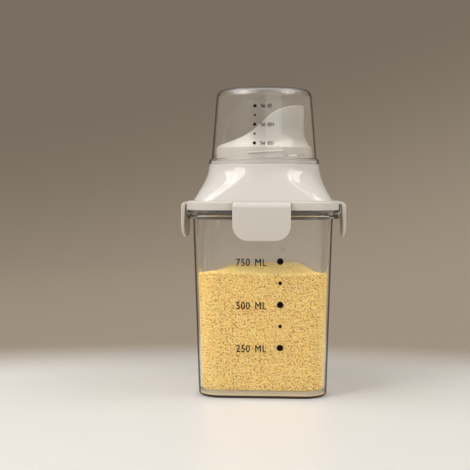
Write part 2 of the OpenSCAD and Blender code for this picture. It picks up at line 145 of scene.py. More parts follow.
class LidSizes(PropertyGroup):
    """The lid's rim and the funnel on it."""

    rim_gap: length("Rim gap", 0.3, "Gap between the rim and the jar's edge")
    rim_height: length("Rim height", 6.1, "Height of the rim")
    rim_edge: length("Rim edge", 1.1, "Radius of the rim's upper edge")
    plate: length("Plate", 1.4, "Thickness of the plate under the funnel")
    plug_height: length("Plug height", 6, "Depth of the plug in the jar's mouth")
    plug_wall: length("Plug wall", 1.8, "Thickness of the plug")
    plug_gap: length("Plug gap", 0.6, "Clearance between the plug and the mouth")
    groove_width: length("Gasket groove", 2.9, "Width of the groove that holds the gasket")
    groove_depth: length("Gasket groove depth", 0.85, "Depth of the groove that holds the gasket")
    notch_wall: length("Notch wall", 1.3, "Wall between a latch's notch and the funnel")
    funnel_height: length("Funnel height", 26.4, "Height of the funnel above the rim")
    funnel_wall: length("Funnel wall", 1.8, "Thickness of the funnel")
    funnel_sweep: FloatProperty(
        name="Funnel sweep", description="How strongly the side curves inwards", default=1.5, min=1, max=3
    )
    neck_height: length("Neck height", 10, "Depth of the neck that holds the spout")
    neck_wall: length("Neck wall", 1.6, "Thickness of the neck")


class SpoutSizes(PropertyGroup):
    """The collar with its threads, and the spout above it."""

    collar_width: length("Collar width", 71.8, "Outer diameter of the collar")
    collar_height: length("Collar height", 12.3, "Height of the collar")
    wall: length("Wall", 1.7, "Thickness of the spout")
    beak_in: length("Beak inset", 5.9, "How far the beak stands in from the collar")
    beak_height: length("Beak height", 31.2, "Height of the beak above the collar")
    sweep_radius: length("Sweep radius", 21, "Radius from the collar into the beak")
    thread_reach: length("Thread reach", 0.95, "How far a thread stands out")
    thread_height: length("Thread height", 1.7, "Height of a thread at its root")
    thread_rise: length("Thread rise", 1.4, "Rise of one thread")
    thread_turn: turn("Thread turn", 44, "Turn that one thread covers")
    thread_count: IntProperty(name="Threads", description="Number of threads", default=3, min=1, max=6)


class CupSizes(PropertyGroup):
    """The measuring cup, upside down over the spout."""

    headroom: length("Headroom", 10.2, "Room between the spout and the cup's end")
    room: length("Room", 2.1, "Room between the collar and the mouth")
    taper: length("Taper", 8.2, "How much narrower the cup is at its end")
    wall: length("Wall", 1.75, "Thickness of the wall")
    floor: length("Floor", 1.8, "Thickness of the closed end")
    edge_radius: length("Edge radius", 5.5, "Radius round the closed end")
    band_out: length("Band", 1.65, "How far the rim band stands out")
    band_height: length("Band height", 3.6, "Height of the rim band")
    band_gap: length("Band gap", 0.6, "Gap between the band and the funnel")
    seal_width: length("Seal width", 1.5, "Width of the seal")
    seal_height: length("Seal height", 2.6, "Height of the seal")
    lug_turn: turn("Lug turn", 24, "Turn that one lug covers")


class LatchSizes(PropertyGroup):
    """The four latches."""

    width: length("Width", 40.4, "Width of a latch")
    height: length("Height", 27, "Height of a latch")
    thickness: length("Thickness", 1.8, "Thickness of a latch's plate at its lower end")
    root_thickness: length("Root thickness", 3.2, "Thickness of a latch's plate at its upper end")
    slope: length("Slope", 0.9, "How far the top of a latch slopes down to its plate")
    curl_in: length("Curl", 0.9, "How far the lower end of the plate curls in")
    curl_height: length("Curl height", 12, "Height over which the plate curls in")
    hinge_in: length("Hinge inset", 1.4, "Distance from the lid's edge in to the hinge")
    reach: length("Reach", 5.9, "Distance from the lid's edge to a plate's outside")
    corner_radius: length("Corner radius", 11, "Radius of the lower corners")
    barrel_radius: length("Barrel radius", 1.5, "Radius of the hinge barrel")
    pin_width: length("Pin width", 1.2, "Diameter of the hinge pin")
    hook: length("Hook", 1.2, "Thickness of the hook")
    edge: length("Edge", 0.5, "Rounding of the plate's edges")
    swing_gap: length("Swing gap", 0.25, "Gap between the barrel and the rim")
    side_gap: length("Side gap", 0.3, "Gap beside a latch")


class ScaleSizes(PropertyGroup):
    """The printed scales on the jar and on the cup."""

    jar_low: length("Jar low mark", 37.3, "Height of the jar's lowest large mark")
    jar_step: length("Jar step", 30.8, "Distance between the jar's large marks")
    jar_mark_x: length("Jar mark place", 12.9, "Distance of the jar's marks from the middle")
    jar_words_x: length("Jar words reach", 3.1, "Right end of the jar's words, from the middle")
    jar_words_width: length("Jar words width", 21.2, "Width of the jar's words")
    jar_words_height: length("Jar words height", 5.2, "Height of the jar's letters")
    jar_words_drop: length("Jar words drop", 0.7, "How far the words stand lower than the marks")
    jar_mark: length("Jar mark", 4.6, "Diameter of the jar's large marks")
    cup_top: length("Cup top mark", 208.9, "Height of the cup's highest mark")
    cup_step: length("Cup step", 6.62, "Distance between the cup's marks")
    cup_mark: length("Cup mark", 2.4, "Diameter of the cup's large marks")
    cup_words_width: length("Cup words width", 10, "Width of the cup's words")
    cup_words_height: length("Cup words height", 2.8, "Height of the cup's letters")
    thickness: length("Print", 0.035, "Thickness of the print")
    bold: length("Bold", 0.17, "How much thicker the letters' strokes are than the font's")


class GritSizes(PropertyGroup):
    """The fill of grits."""

    show: BoolProperty(name="Fill the jar", description="Makes the grits in the jar", default=True)
    level: length("Level", 89.3, "Height of the fill at the walls")
    heap: length("Heap", 3.4, "How far the fill rises in the middle")
    fall: length("Fall", 9.5, "How much lower the fill is in the back corners")
    grit: length("Grit", 1.95, "Width of one grit")
    spacing: length("Spacing", 1.2, "Smallest distance between two grits")
    seed: IntProperty(name="Seed", description="Start of the random places", default=7, min=0)


class Tints(PropertyGroup):
    """Colours of the materials."""

    clear: tint("Clear plastic", (0.97, 0.96, 0.94), "Jar and cup")
    gloss: tint("Glossy cream", (0.62, 0.585, 0.545), "Funnel and spout")
    # Darker than the funnel's cream: painted shade, standing in for the shadow that the cup over the spout doesn't
    # cast.
    spout: tint("Spout cream", (0.47, 0.445, 0.4), "Spout and its threads")
    satin: tint("Satin cream", (0.585, 0.55, 0.5), "Rim and latches")
    silicone: tint("Silicone", (0.42, 0.405, 0.38), "Cup seal")
    # Very dark: on the plug's skin it is painted shade under the rim; the gasket is dark silicone, painted this dark
    # partly as the same shade.
    seal: tint("Dark seal", (0.085, 0.066, 0.045), "Gasket and the skin of the plug")
    print: tint("Print", (0.007, 0.004, 0.003), "Scales")
    grits_light: tint("Light grits", (0.97, 0.76, 0.25), "Lightest grits")
    grits_deep: tint("Deep grits", (0.96, 0.63, 0.12), "Darkest grits")
    floor: tint("Floor", (0.80, 0.775, 0.74), "Floor round the jar")
    backdrop: tint("Backdrop", (0.235, 0.192, 0.145), "What stands behind the jar")
    room: tint("Room", (0.62, 0.585, 0.53), "What stands in front of the jar and shows in its gloss")


class StageSettings(PropertyGroup):
    """Lamps and camera."""

    key_power: power("Window power", 5.6, "Power of the large lamp")
    side_power: power("Side power", 2.5, "Power of each side lamp")
    streak_power: power("Streak power", 1.2, "Power of the narrow lamp")
    front_power: power("Front power", 2.9, "Power of the lamp in front")
    fill: FloatProperty(name="Fill", description="Strength of the light from all round", default=0.33, min=0)
    lens: FloatProperty(name="Lens", description="Focal length", default=70, unit="CAMERA")
    distance: length("Distance", 690, "Distance from the camera to the middle of the jar")
    eye_height: length("Eye height", 155.4, "Height of the camera above the table")
    sideways: length("Sideways", 19, "How far the camera stands to the right")
    pitch: turn("Pitch", 3.38, "How far the camera looks down")
    yaw: turn("Yaw", 3.39, "How far the camera looks to the left")


class FoodJar(PropertyGroup):
    """Everything that can be set."""

    jar: PointerProperty(type=JarSizes)
    lid: PointerProperty(type=LidSizes)
    spout: PointerProperty(type=SpoutSizes)
    cup: PointerProperty(type=CupSizes)
    latch: PointerProperty(type=LatchSizes)
    scales: PointerProperty(type=ScaleSizes)
    grits: PointerProperty(type=GritSizes)
    tints: PointerProperty(type=Tints)
    stage: PointerProperty(type=StageSettings)


def sizes():
    """The settings, and the places that follow from them."""
    settings = bpy.context.scene.food_jar
    d = SimpleNamespace(**{group: getattr(settings, group) for group in FoodJar.__annotations__})
    jar, lid, spout, cup, latch = d.jar, d.lid, d.spout, d.cup, d.latch

    d.jar_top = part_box("jar")[1].z
    d.lip_half = jar.top_width / 2 + jar.lip_out
    d.lip_z = d.jar_top - jar.lip_height
    d.ring_top = d.lip_z - jar.groove_height
    d.ring_z = d.ring_top - jar.ring_height
    d.mouth_half = jar.top_width / 2 - jar.wall

    d.rim_z = d.jar_top + lid.rim_gap
    d.rim_top = d.rim_z + lid.rim_height
    d.seat_z = d.rim_z + lid.plate
    d.plug_half = d.mouth_half - lid.plug_gap
    d.hinge_u = d.lip_half - latch.hinge_in
    d.hinge_z = d.rim_top - latch.barrel_radius - BARREL_DROP
    d.notch_u = d.hinge_u - latch.barrel_radius - latch.swing_gap
    d.notch_half = latch.width / 2 + latch.side_gap
    d.hole_half = d.notch_u - lid.notch_wall
    d.funnel_half = d.hole_half - FIT_GAP
    d.funnel_top = d.rim_top + lid.funnel_height

    d.collar_r = spout.collar_width / 2
    d.collar_z = d.funnel_top + REST_GAP
    d.collar_top = d.collar_z + spout.collar_height
    d.beak_r = d.collar_r - spout.beak_in
    d.beak_top = d.collar_top + spout.beak_height
    d.neck_r = d.collar_r - spout.wall + FIT_GAP
    d.thread_z = d.collar_top - THREAD_DROP
    d.thread_start = -QUARTER - THREAD_LEFT * spout.thread_turn

    d.cup_z = d.funnel_top + cup.band_gap
    d.cup_top = d.beak_top + cup.headroom + cup.floor
    d.bore_r = d.collar_r + cup.room
    d.mouth_r = d.bore_r + cup.wall
    d.band_r = d.mouth_r + cup.band_out
    d.funnel_top_r = d.band_r - BAND_PAST
    d.seal_r = (d.bore_r + d.band_r) / 2
    d.lug_top = d.thread_z - spout.thread_height / 2 - FIT_GAP

    d.plate_u = d.lip_half + latch.reach
    d.latch_top = d.hinge_z + latch.barrel_radius
    d.latch_z = d.latch_top - latch.height
    return d


# ---------------------------------------------------------------- outlines and skins


def polar(radius, angle, z=0.0):
    """The point at a radius and an angle round the Z axis."""
    return Vector((radius * math.cos(angle), radius * math.sin(angle), z))


def soften(outline, steps=3, closed=True):
    """Points of an outline of (across, up, radius) corners, with an arc at each corner that has a radius."""
    points = []
    for k, (across, up, radius) in enumerate(outline):
        corner = Vector((across, up))
        if radius == 0 or (not closed and k in (0, len(outline) - 1)):
            points.append(corner)
            continue
        before = Vector(outline[k - 1][:2]) - corner
        after = Vector(outline[(k + 1) % len(outline)][:2]) - corner
        half = before.angle(after) / 2
        reach = min(radius / math.tan(half), 0.49 * before.length, 0.49 * after.length)
        radius = reach * math.tan(half)
        centre = corner + (before.normalized() + after.normalized()).normalized() * radius / math.sin(half)
        start = corner + before.normalized() * reach - centre
        end = corner + after.normalized() * reach - centre
        first = math.atan2(start.y, start.x)
        swing = (math.atan2(end.y, end.x) - first + math.pi) % math.tau - math.pi
        for i in range(steps + 1):
            angle = first + swing * i / steps
            points.append(centre + Vector((math.cos(angle), math.sin(angle))) * radius)
    return points


def corner_centre(quarter, reach):
    """Centre of a round corner of a square that lies at reach along both axes."""
    middle = math.radians(90 * quarter + 45)
    return Vector((math.copysign(1, math.cos(middle)), math.copysign(1, math.sin(middle)), 0)) * reach


def square_ring(half, radius, z, steps=CORNER_STEPS):
    """Corners of a rounded square at height z."""
    ring = []
    for quarter in range(4):
        centre = corner_centre(quarter, half - radius)
        for i in range(steps + 1):
            angle = math.radians(90 * (quarter + i / steps))
            ring.append(Vector((centre.x + radius * math.cos(angle), centre.y + radius * math.sin(angle), z)))
    return ring


def circle_ring(radius, z, steps=TURN_STEPS):
    """Corners of a circle at height z."""
    return [polar(radius, math.tau * i / steps, z) for i in range(steps)]


def ring_round_x(x, y, z, radius, steps=32):
    """Corners of a circle round a line along X that passes through y and z."""
    turns = [math.tau * i / steps for i in range(steps)]
    return [Vector((x, y + radius * math.cos(a), z + radius * math.sin(a))) for a in turns]


def stand(outline, angle):
    """An outline of points (across, up), stood up at an angle round the Z axis."""
    return [polar(p.x, angle, p.y) for p in outline]


def skin(rings, endless=False, round_trip=True):
    """Points and faces of a surface through rings of equally many corners.

    An endless surface joins its last ring to its first; any other is closed by its two end rings. Without a round
    trip the rings are open lines.
    """
    count, size = len(rings), len(rings[0])
    points = [point for ring in rings for point in ring]
    faces = []
    for k in range(count if endless else count - 1):
        for i in range(size if round_trip else size - 1):
            j = (i + 1) % size
            a, b = k * size, (k + 1) % count * size
            faces.append((a + i, a + j, b + j, b + i))
    if not endless and round_trip:
        faces += [tuple(range(size))[::-1], tuple(range((count - 1) * size, count * size))]
    return points, faces


def block(low, high):
    """A plain box as a shell."""
    corners = ((low[0], low[1]), (high[0], low[1]), (high[0], high[1]), (low[0], high[1]))
    return skin([[Vector((x, y, z)) for x, y in corners] for z in (low[2], high[2])])


def turned(shell, angle):
    """A shell turned about the Z axis."""
    points, faces = shell
    swing = Matrix.Rotation(angle, 3, "Z")
    return [swing @ Vector(point) for point in points], faces


# ---------------------------------------------------------------- objects


def add(name, data):
    """Put new data into the scene as an object."""
    made = bpy.data.objects.new(name, data)
    bpy.context.scene.collection.objects.link(made)
    return made


def piece(name, shells, material, smooth=30):
    """An object made of closed shells, each given as points and faces."""
    shape = bmesh.new()
    for points, faces in shells:
        corners = [shape.verts.new(point) for point in points]
        for face in faces:
            shape.faces.new([corners[i] for i in face])
    bmesh.ops.remove_doubles(shape, verts=shape.verts, dist=SAME_PLACE)
    bmesh.ops.dissolve_degenerate(shape, edges=shape.edges, dist=SAME_PLACE)
    bmesh.ops.recalc_face_normals(shape, faces=shape.faces)
    mesh = bpy.data.meshes.new(name)
    shape.to_mesh(mesh)
    shape.free()
    mesh.materials.append(material)
    made = add(name, mesh)
    settle(made, smooth)
    return made


@contextmanager
def opened(made):
    """A piece's mesh, open for changes."""
    shape = bmesh.new()
    shape.from_mesh(made.data)
    yield shape
    shape.to_mesh(made.data)
    shape.free()


def settle(made, smooth=30):
    """Shade a piece smooth, with a sharp edge wherever its faces turn by more than smooth degrees."""
    made.data.shade_smooth()
    made.data.set_sharp_from_angle(angle=math.radians(smooth))


def weigh_normals(made):
    """Let the large faces of a piece decide its shading, so that flat sides stay flat beside round corners."""
    made.modifiers.new("Even shading", "WEIGHTED_NORMAL").keep_sharp = True


def plain_mesh(made):
    """The mesh that an object has once its curves and modifiers are worked out."""
    graph = bpy.context.evaluated_depsgraph_get()
    return bpy.data.meshes.new_from_object(made.evaluated_get(graph), depsgraph=graph)


def flatten(made):
    """Turn a piece and its modifiers into one plain mesh."""
    mesh = plain_mesh(made)
    made.modifiers.clear()
    old, made.data = made.data, mesh
    mesh.name = made.name
    bpy.data.meshes.remove(old)
    return made


def combine(made, tool, operation="DIFFERENCE"):
    """Cut a tool out of a piece, or fuse the two."""
    boolean = made.modifiers.new("Combine", "BOOLEAN")
    boolean.operation, boolean.solver, boolean.object = operation, "EXACT", tool
    flatten(made)
    bpy.data.objects.remove(tool)


def outwardness(spot, normal):
    """How far a normal at a spot points away from the Z axis, from -1 to 1."""
    return Vector((spot.x, spot.y, 0)).normalized().dot(normal)


def finish_clear(made, edge_shade_share, dark_to=-1.0, glow_to=-1.0):
    """Mark the outer faces of a clear piece for painted edge shade, and let the lamps light what is in it: it casts no
    shadow of its own.

    The function given second tells how much painted shade a face takes where it is seen edge on. The lowest part of the
    edge, up to dark_to, is marked for a band of painted shade along the base. The edge above it is marked for painted
    light, the pale colour of lit grits, less and less up to glow_to.
    """
    strongest, sideways, fade = 0.9, 0.1, 2.6 * MM
    outside = made.data.attributes.new("outside", "FLOAT", "FACE")
    for face in made.data.polygons:
        inward = outwardness(face.center, face.normal) < -sideways
        outside.data[face.index].value = 0.0 if inward else edge_shade_share(face.center.z, face.normal)
    # Painted shade along the base, and painted light above it.
    base_shade = made.data.attributes.new("painted_base_shade", "FLOAT", "POINT")
    painted_glow = made.data.attributes.new("painted_glow", "FLOAT", "POINT")
    for point in made.data.vertices:
        z, outward = point.co.z, outwardness(point.co, point.normal) > sideways
        base_shade.data[point.index].value = strongest if outward and z < dark_to else 0.0
        left = strongest * min(1, (glow_to - z) / fade)
        painted_glow.data[point.index].value = left if outward and dark_to < z < glow_to else 0.0
    made.visible_shadow = False


def place(made, body, slot, *nodes):
    """Let a piece ride on a body and stand for CAD nodes, which it hides. The slot is not used."""
    if nodes:
        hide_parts(*nodes)
    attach(made, body)


# ---------------------------------------------------------------- nodes


def maths(operation, swapped=False):
    """A method of a signal that adds a Math node."""

    def method(signal, other):
        first, second = (other, signal) if swapped else (signal, other)
        return signal.net.node("ShaderNodeMath", {0: first, 1: second}, operation=operation)

    return method


class Signal:
    """A socket of a net. Arithmetic on signals adds Math nodes."""

    def __init__(self, net, socket):
        self.net, self.socket = net, socket

    __add__ = __radd__ = maths("ADD")
    __sub__ = maths("SUBTRACT")
    __rsub__ = maths("SUBTRACT", swapped=True)
    __mul__ = __rmul__ = maths("MULTIPLY")
    __rtruediv__ = maths("DIVIDE", swapped=True)
    __mod__ = maths("MODULO")
    __pow__ = maths("POWER")


class Net:
    """Nodes and their links in the making. Every node comes from the method node."""

    def __init__(self, tree):
        self.nodes, self.links = tree.nodes, tree.links

    def node(self, kind, inputs=None, output=0, **settings):
        """Add a node: its settings first, then the values or signals of its sockets."""
        added = self.nodes.new(kind)
        for setting, value in settings.items():
            setattr(added, setting, value)
        for socket, value in (inputs or {}).items():
            if isinstance(value, Signal):
                self.links.new(value.socket, added.inputs[socket])
            else:
                added.inputs[socket].default_value = value
        return Signal(self, added.outputs[output]) if added.outputs else added


class Finish(Net):
    """A material in the making."""

    def __init__(self, name):
        self.material = bpy.data.materials.new(name)
        self.material.use_nodes = True
        super().__init__(self.material.node_tree)
        self.nodes.clear()
        self.spot = self.node("ShaderNodeTexCoord", output="Object")

    def axes(self):
        """The place on the object along X, along Y and along Z."""
        split = self.node("ShaderNodeSeparateXYZ", {"Vector": self.spot}).socket.node
        return [Signal(self, part) for part in split.outputs]

    def attribute(self, name):
        """A number that the mesh carries."""
        return self.node("ShaderNodeAttribute", output="Fac", attribute_name=name)

    def noise(self, scale, detail=2, stretch=(1, 1, 1)):
        """Soft noise of scale patches in a metre, from 0 to 1."""
        where = self.node("ShaderNodeMapping", {"Vector": self.spot, "Scale": stretch})
        return self.node("ShaderNodeTexNoise", {"Vector": where, "Scale": scale, "Detail": detail})

    def lumps(self, scale):
        """Round lumps, scale of them in a metre: 0 in the middle of each."""
        return self.node("ShaderNodeTexVoronoi", {"Vector": self.spot, "Scale": scale})

    def window(self, signal, low, high):
        """0 where a signal is at or under low, 1 where it is at or over high, smooth between."""
        limits = {"Value": signal, "From Min": low, "From Max": high}
        return self.node("ShaderNodeMapRange", limits, interpolation_type="SMOOTHSTEP")

    def mix(self, factor, first, second):
        """A colour between two colours."""
        return self.node("ShaderNodeMix", {0: factor, 6: first, 7: second}, output=2, data_type="RGBA")

    def bump(self, height, distance):
        """A normal that follows a height, which stands distance high at 1."""
        return self.node("ShaderNodeBump", {"Height": height, "Distance": distance})

    def surface(self, **sockets):
        """A Principled shader with these sockets."""
        return self.node("ShaderNodeBsdfPrincipled", {name.replace("_", " "): value for name, value in sockets.items()})

    def light(self, colour, strength=1.0):
        """A shader that gives off light."""
        return self.node("ShaderNodeEmission", {"Color": colour, "Strength": strength})

    def between(self, factor, first, second):
        """A shader between two shaders."""
        return self.node("ShaderNodeMixShader", {0: factor, 1: first, 2: second})

    def finish(self, **sockets):
        """Close the material with one Principled shader."""
        return self.close(Surface=self.surface(**sockets))

    def close(self, **ends):
        """Lead shaders to the material's output."""
        self.node("ShaderNodeOutputMaterial", ends)
        return self.material


class Tree(Net):
    """A Geometry Nodes tree in the making, with named inputs."""

    def __init__(self, name, **inputs):
        self.group = bpy.data.node_groups.new(name, "GeometryNodeTree")
        super().__init__(self.group)
        face = self.group.interface
        face.new_socket("Geometry", in_out="INPUT", socket_type="NodeSocketGeometry")
        face.new_socket("Geometry", in_out="OUTPUT", socket_type="NodeSocketGeometry")
        self.ids = {
            title: face.new_socket(title, in_out="INPUT", socket_type="NodeSocket" + kind).identifier
            for title, kind in inputs.items()
        }
        self.start = self.nodes.new("NodeGroupInput")

    def given(self, title):
        """The signal of a named input."""
        return Signal(self, self.start.outputs[title])

    def end(self, points, instance, **spread):
        """Put an instance on every point, make all of them real, give them the material and close the tree."""
        copies = self.node("GeometryNodeInstanceOnPoints", {"Points": points, "Instance": instance, **spread})
        real = self.node("GeometryNodeRealizeInstances", {"Geometry": copies})
        painted = self.node("GeometryNodeSetMaterial", {"Geometry": real, "Material": self.given("Material")})
        self.node("NodeGroupOutput", {"Geometry": painted})
        return self

    def run(self, made, **values):
        """Put the tree on a piece with these inputs, and keep its result as a plain mesh."""
        modifier = made.modifiers.new(self.group.name, "NODES")
        modifier.node_group = self.group
        for title, value in values.items():
            modifier[self.ids[title]] = value
        return flatten(made)


def copies_round_axis():
    """Tree: copies of the piece itself, spread evenly round the Z axis."""
    t = Tree("copies_round_axis", Count="Int", Material="Material")
    points = t.node("GeometryNodePoints", {"Count": t.given("Count")})
    angle = t.node("GeometryNodeInputIndex") * (math.tau / t.given("Count"))
    return t.end(points, t.given("Geometry"), Rotation=t.node("ShaderNodeCombineXYZ", {"Z": angle}))


def row_of_marks():
    """Tree: round marks in a row, large and small by turns, each turned by Turn."""
    t = Tree(
        "row_of_marks", Count="Int", Start="Vector", Step="Vector", Turn="Vector",
        Large="Float", Small="Float", Thickness="Float", Material="Material",
    )
    places = {"Count": t.given("Count"), "Start Location": t.given("Start"), "Offset": t.given("Step")}
    line = t.node("GeometryNodeMeshLine", places, mode="OFFSET")
    odd = t.node("GeometryNodeInputIndex") % 2.0
    width = t.node("ShaderNodeMapRange", {"Value": odd, "To Min": t.given("Large"), "To Max": t.given("Small")})
    across = t.node("ShaderNodeCombineXYZ", {"X": width, "Y": width, "Z": t.given("Thickness")})
    disc = t.node("GeometryNodeMeshCylinder", {"Vertices": 40, "Radius": 0.5, "Depth": 1.0})
    return t.end(line, disc, Rotation=t.given("Turn"), Scale=across)


def spread_of_grits():
    """Tree: grits of many sizes, tones and turns, packed closely over the piece's faces."""
    t = Tree("spread_of_grits", Spacing="Float", Size="Float", Seed="Int", Material="Material")
    spacing, seed = t.given("Spacing"), t.given("Seed")
    crowded = 3.0 / spacing**2.0
    scatter = t.node(
        "GeometryNodeDistributePointsOnFaces",
        {"Mesh": t.given("Geometry"), "Distance Min": spacing, "Density Max": crowded, "Seed": seed},
        distribute_method="POISSON",
    )

    def chance(low, high, step):
        """A random number, or three, for each grit."""
        kind, first, output = ("FLOAT_VECTOR", 0, 0) if isinstance(low, tuple) else ("FLOAT", 2, 1)
        limits = {first: low, first + 1: high, "Seed": seed + step}
        return t.node("FunctionNodeRandomValue", limits, output, data_type=kind)

    toned = t.node(
        "GeometryNodeStoreNamedAttribute",
        {"Geometry": scatter, "Name": "tone", "Value": chance(0.0, 1.0, 1.0)},
        data_type="FLOAT", domain="POINT",
    )
    ball = t.node("GeometryNodeMeshIcoSphere", {"Radius": 0.5, "Subdivisions": 1})
    smooth_ball = t.node("GeometryNodeSetShadeSmooth", {"Geometry": ball, "Shade Smooth": True})
    stretch = chance((0.72, 0.72, 0.86), (1.0, 1.05, 1.28), 2.0)
    across = t.node("ShaderNodeVectorMath", {0: stretch, "Scale": t.given("Size")}, operation="SCALE")
    turns = chance((0.0, 0.0, 0.0), (math.tau, math.tau, math.tau), 3.0)
    return t.end(toned, smooth_ball, Rotation=turns, Scale=across)


# ---------------------------------------------------------------- materials


def shade(colour, factor=1.0):
    """A colour times a factor, with its alpha."""
    return (*(min(1, part * factor) for part in colour), 1)


def milky(weight, *reach):
    """Sockets for plastic that light enters, by the reach of red, green and blue in metres."""
    return {"Subsurface_Weight": weight, "Subsurface_Radius": reach, "Subsurface_Scale": 1.0}


def clear_plastic(f, colour, ripple, low, high, clarity):
    """Clear plastic: slight ripples from the mould, faint handling haze, and painted dark outlines, a painted shade
    that stands in for dark surroundings seen in its edges.

    The painted shade sets in where it is seen edge on, from low, still clear, to high. Along the base it paints a dark
    band as painted shade, and above it the pale colour of lit grits as painted light.
    """
    facing = f.node("ShaderNodeLayerWeight", {"Blend": 0.5}, output="Facing")
    haze = f.window(f.noise(45, 4), 0.45, 0.8)
    clear = f.surface(
        Base_Color=f.mix(haze, shade(colour), shade(colour, 0.975)),
        Roughness=0.015 + 0.05 * haze,
        Normal=f.bump(f.noise(55, 1, (1, 1, 0.35)), ripple),
        IOR=1.49,
        Transmission_Weight=clarity,
    )
    # A dark, hardly glossy surface, painted where the plastic is seen edge on: painted shade.
    edge_shade = f.surface(
        Base_Color=f.mix(haze, (0.04, 0.028, 0.018, 1), (0.05, 0.036, 0.024, 1)),
        Roughness=0.2 + 0.05 * haze,
        Specular_IOR_Level=0.1,
    )
    # The pale colour of lit grits, painted along the edge of the jar's base: painted light.
    lit = f.surface(
        Base_Color=f.mix(haze, (0.74, 0.59, 0.38, 1), (0.72, 0.57, 0.37, 1)),
        Roughness=0.1 + 0.05 * haze,
    )
    body = f.between(f.attribute("painted_glow"), clear, lit)
    # The painted edge shade, plus the band of painted shade along the base.
    edge = f.window(facing, low, high) * f.attribute("outside") + f.attribute("painted_base_shade")
    depth = f.node("ShaderNodeVolumeAbsorption", {"Color": (0.30, 0.27, 0.22, 1), "Density": 2.0})
    return f.close(Surface=f.between(edge, body, edge_shade), Volume=depth)


def glossy_cream(f, colour, shade_from=1.0):
    """Glossy moulded plastic, with a trace of sink and swirl. Above the given height its colour is painted darker, as
    painted shade on the beak under the cup.
    """
    height = f.axes()[2]
    # Above the given height the colour is painted darker: painted shade on the beak under the cup.
    thin = f.window(height, shade_from, shade_from + 8 * MM)
    swirl = f.mix(f.noise(38, 3, (1, 1, 1.6)), shade(colour, 0.975), shade(colour, 1.02))
    return f.finish(
        Base_Color=f.mix(thin, swirl, shade(colour, 0.78)),
        Roughness=0.02 + 0.03 * f.window(f.noise(90, 4), 0.4, 0.75),
        Normal=f.bump(f.noise(60, 1) + 0.004 * f.noise(1500, 2), 0.1 * MM),
        IOR=1.5,
        **milky(0.12, 0.004, 0.003, 0.002),
    )


def satin_cream(f, colour):
    """Satin plastic with the fine texture of an etched mould, a little rubbed on broad spots."""
    grain = f.lumps(2600.0)
    rubbed = f.window(f.noise(70, 4), 0.5, 0.75)
    return f.finish(
        Base_Color=f.mix(f.noise(26, 3), shade(colour, 0.97), shade(colour, 1.025)),
        Roughness=0.44 - 0.1 * rubbed + 0.05 * grain,
        Normal=f.bump(grain + 0.6 * f.noise(1300, 2), 0.03 * MM),
        IOR=1.48,
        **milky(0.3, 0.006, 0.0045, 0.003),
    )


def silicone(f, colour):
    """Soft milky silicone, dusty in places."""
    dust = f.noise(260, 4)
    return f.finish(
        Base_Color=f.mix(dust, shade(colour, 0.94), shade(colour, 1.03)),
        Roughness=0.5 + 0.2 * dust,
        Normal=f.bump(f.noise(900, 3), 0.04 * MM),
        IOR=1.41,
        **milky(0.3, 0.003, 0.003, 0.0025),
    )


def pin_steel(f):
    """Drawn steel wire."""
    drawn = f.noise(900, 3, (1, 1, 12))
    return f.finish(
        Base_Color=f.mix(drawn, (0.5, 0.5, 0.51, 1), (0.66, 0.66, 0.66, 1)),
        Roughness=0.24 + 0.16 * drawn,
        Normal=f.bump(drawn, 0.01 * MM),
        Metallic=1.0,
    )


def scale_print(f, colour):
    """Screen print: dense ink, a little thinner here and there."""
    thin = f.window(f.noise(900, 3), 0.55, 0.85)
    return f.finish(
        Base_Color=f.mix(thin, shade(colour), shade(part + 0.015 for part in colour)),
        Roughness=0.5 + 0.2 * thin,
        Normal=f.bump(f.noise(1800, 2), 0.01 * MM),
        Specular_IOR_Level=0.05,
    )


def grits(f, light, deep):
    """Grits: each has a tone of its own, a paler end and a mealy surface."""
    mealy = f.noise(1500, 3)
    tone = f.window(f.attribute("tone") + 0.5 * mealy - 0.25, 0.05, 0.95)
    return f.finish(
        Base_Color=f.mix(tone, shade(deep), shade(light)),
        Roughness=0.42 + 0.25 * mealy,
        Normal=f.bump(mealy, 0.08 * MM),
        **milky(0.15, 0.0008, 0.0005, 0.0002),
    )


def grits_behind(f, light, deep):
    """The mass of grits behind the outer ones: round lumps painted a little darker than the loose grits, with gaps
    painted darker still, as painted shade.
    """
    lumps = f.lumps(720.0)
    # Painted shade: the lumps take 0.85 of the grits' colours, and the gaps between them a dark brown.
    gap_shade = f.window(lumps, 0.25, 0.75)
    lit = f.mix(f.noise(500, 2), shade(deep, 0.85), shade(light, 0.85))
    return f.finish(
        Base_Color=f.mix(gap_shade, lit, (0.6, 0.29, 0.02, 1)),
        Roughness=0.6 + 0.2 * gap_shade,
        Normal=f.bump(1 - lumps, 0.5 * MM),
    )


def floor_finish(f, tints, fill):
    """Pale floor round the jar that runs out into the colour of the backdrop."""
    x, y, z = f.axes()
    # The floor ends in a soft edge just behind the jar and runs on towards the camera; past the edge it takes the
    # backdrop's colour, which also darkens the floor just behind the jar, as painted shade.
    forward = y + 0.75
    far = f.window((x * x + forward * forward) ** 0.5, 0.79, 0.945)
    # The backdrop is painted lighter low down, towards the front and towards +X, and darker upwards, towards the back
    # and towards -X: painted light and shade.
    high = f.window(z + 0.18 * y - 0.28 * x, 0.0, 0.7)
    ground = f.surface(
        Base_Color=f.mix(f.noise(9, 3), shade(tints.floor, 0.985), shade(tints.floor, 1.01)),
        Roughness=0.32 + 0.1 * f.noise(30, 2),
    )
    behind = f.mix(high, shade(tints.backdrop, 1.5), shade(tints.backdrop, 0.8))
    seen = f.light(f.mix(f.window(y, -0.2, -1.1), behind, shade(tints.room)))
    bounced = f.node("ShaderNodeLightPath", output="Diffuse Depth")
    return f.close(Surface=f.between(far, ground, f.between(bounced, seen, f.light(ROOM_LIGHT, fill))))


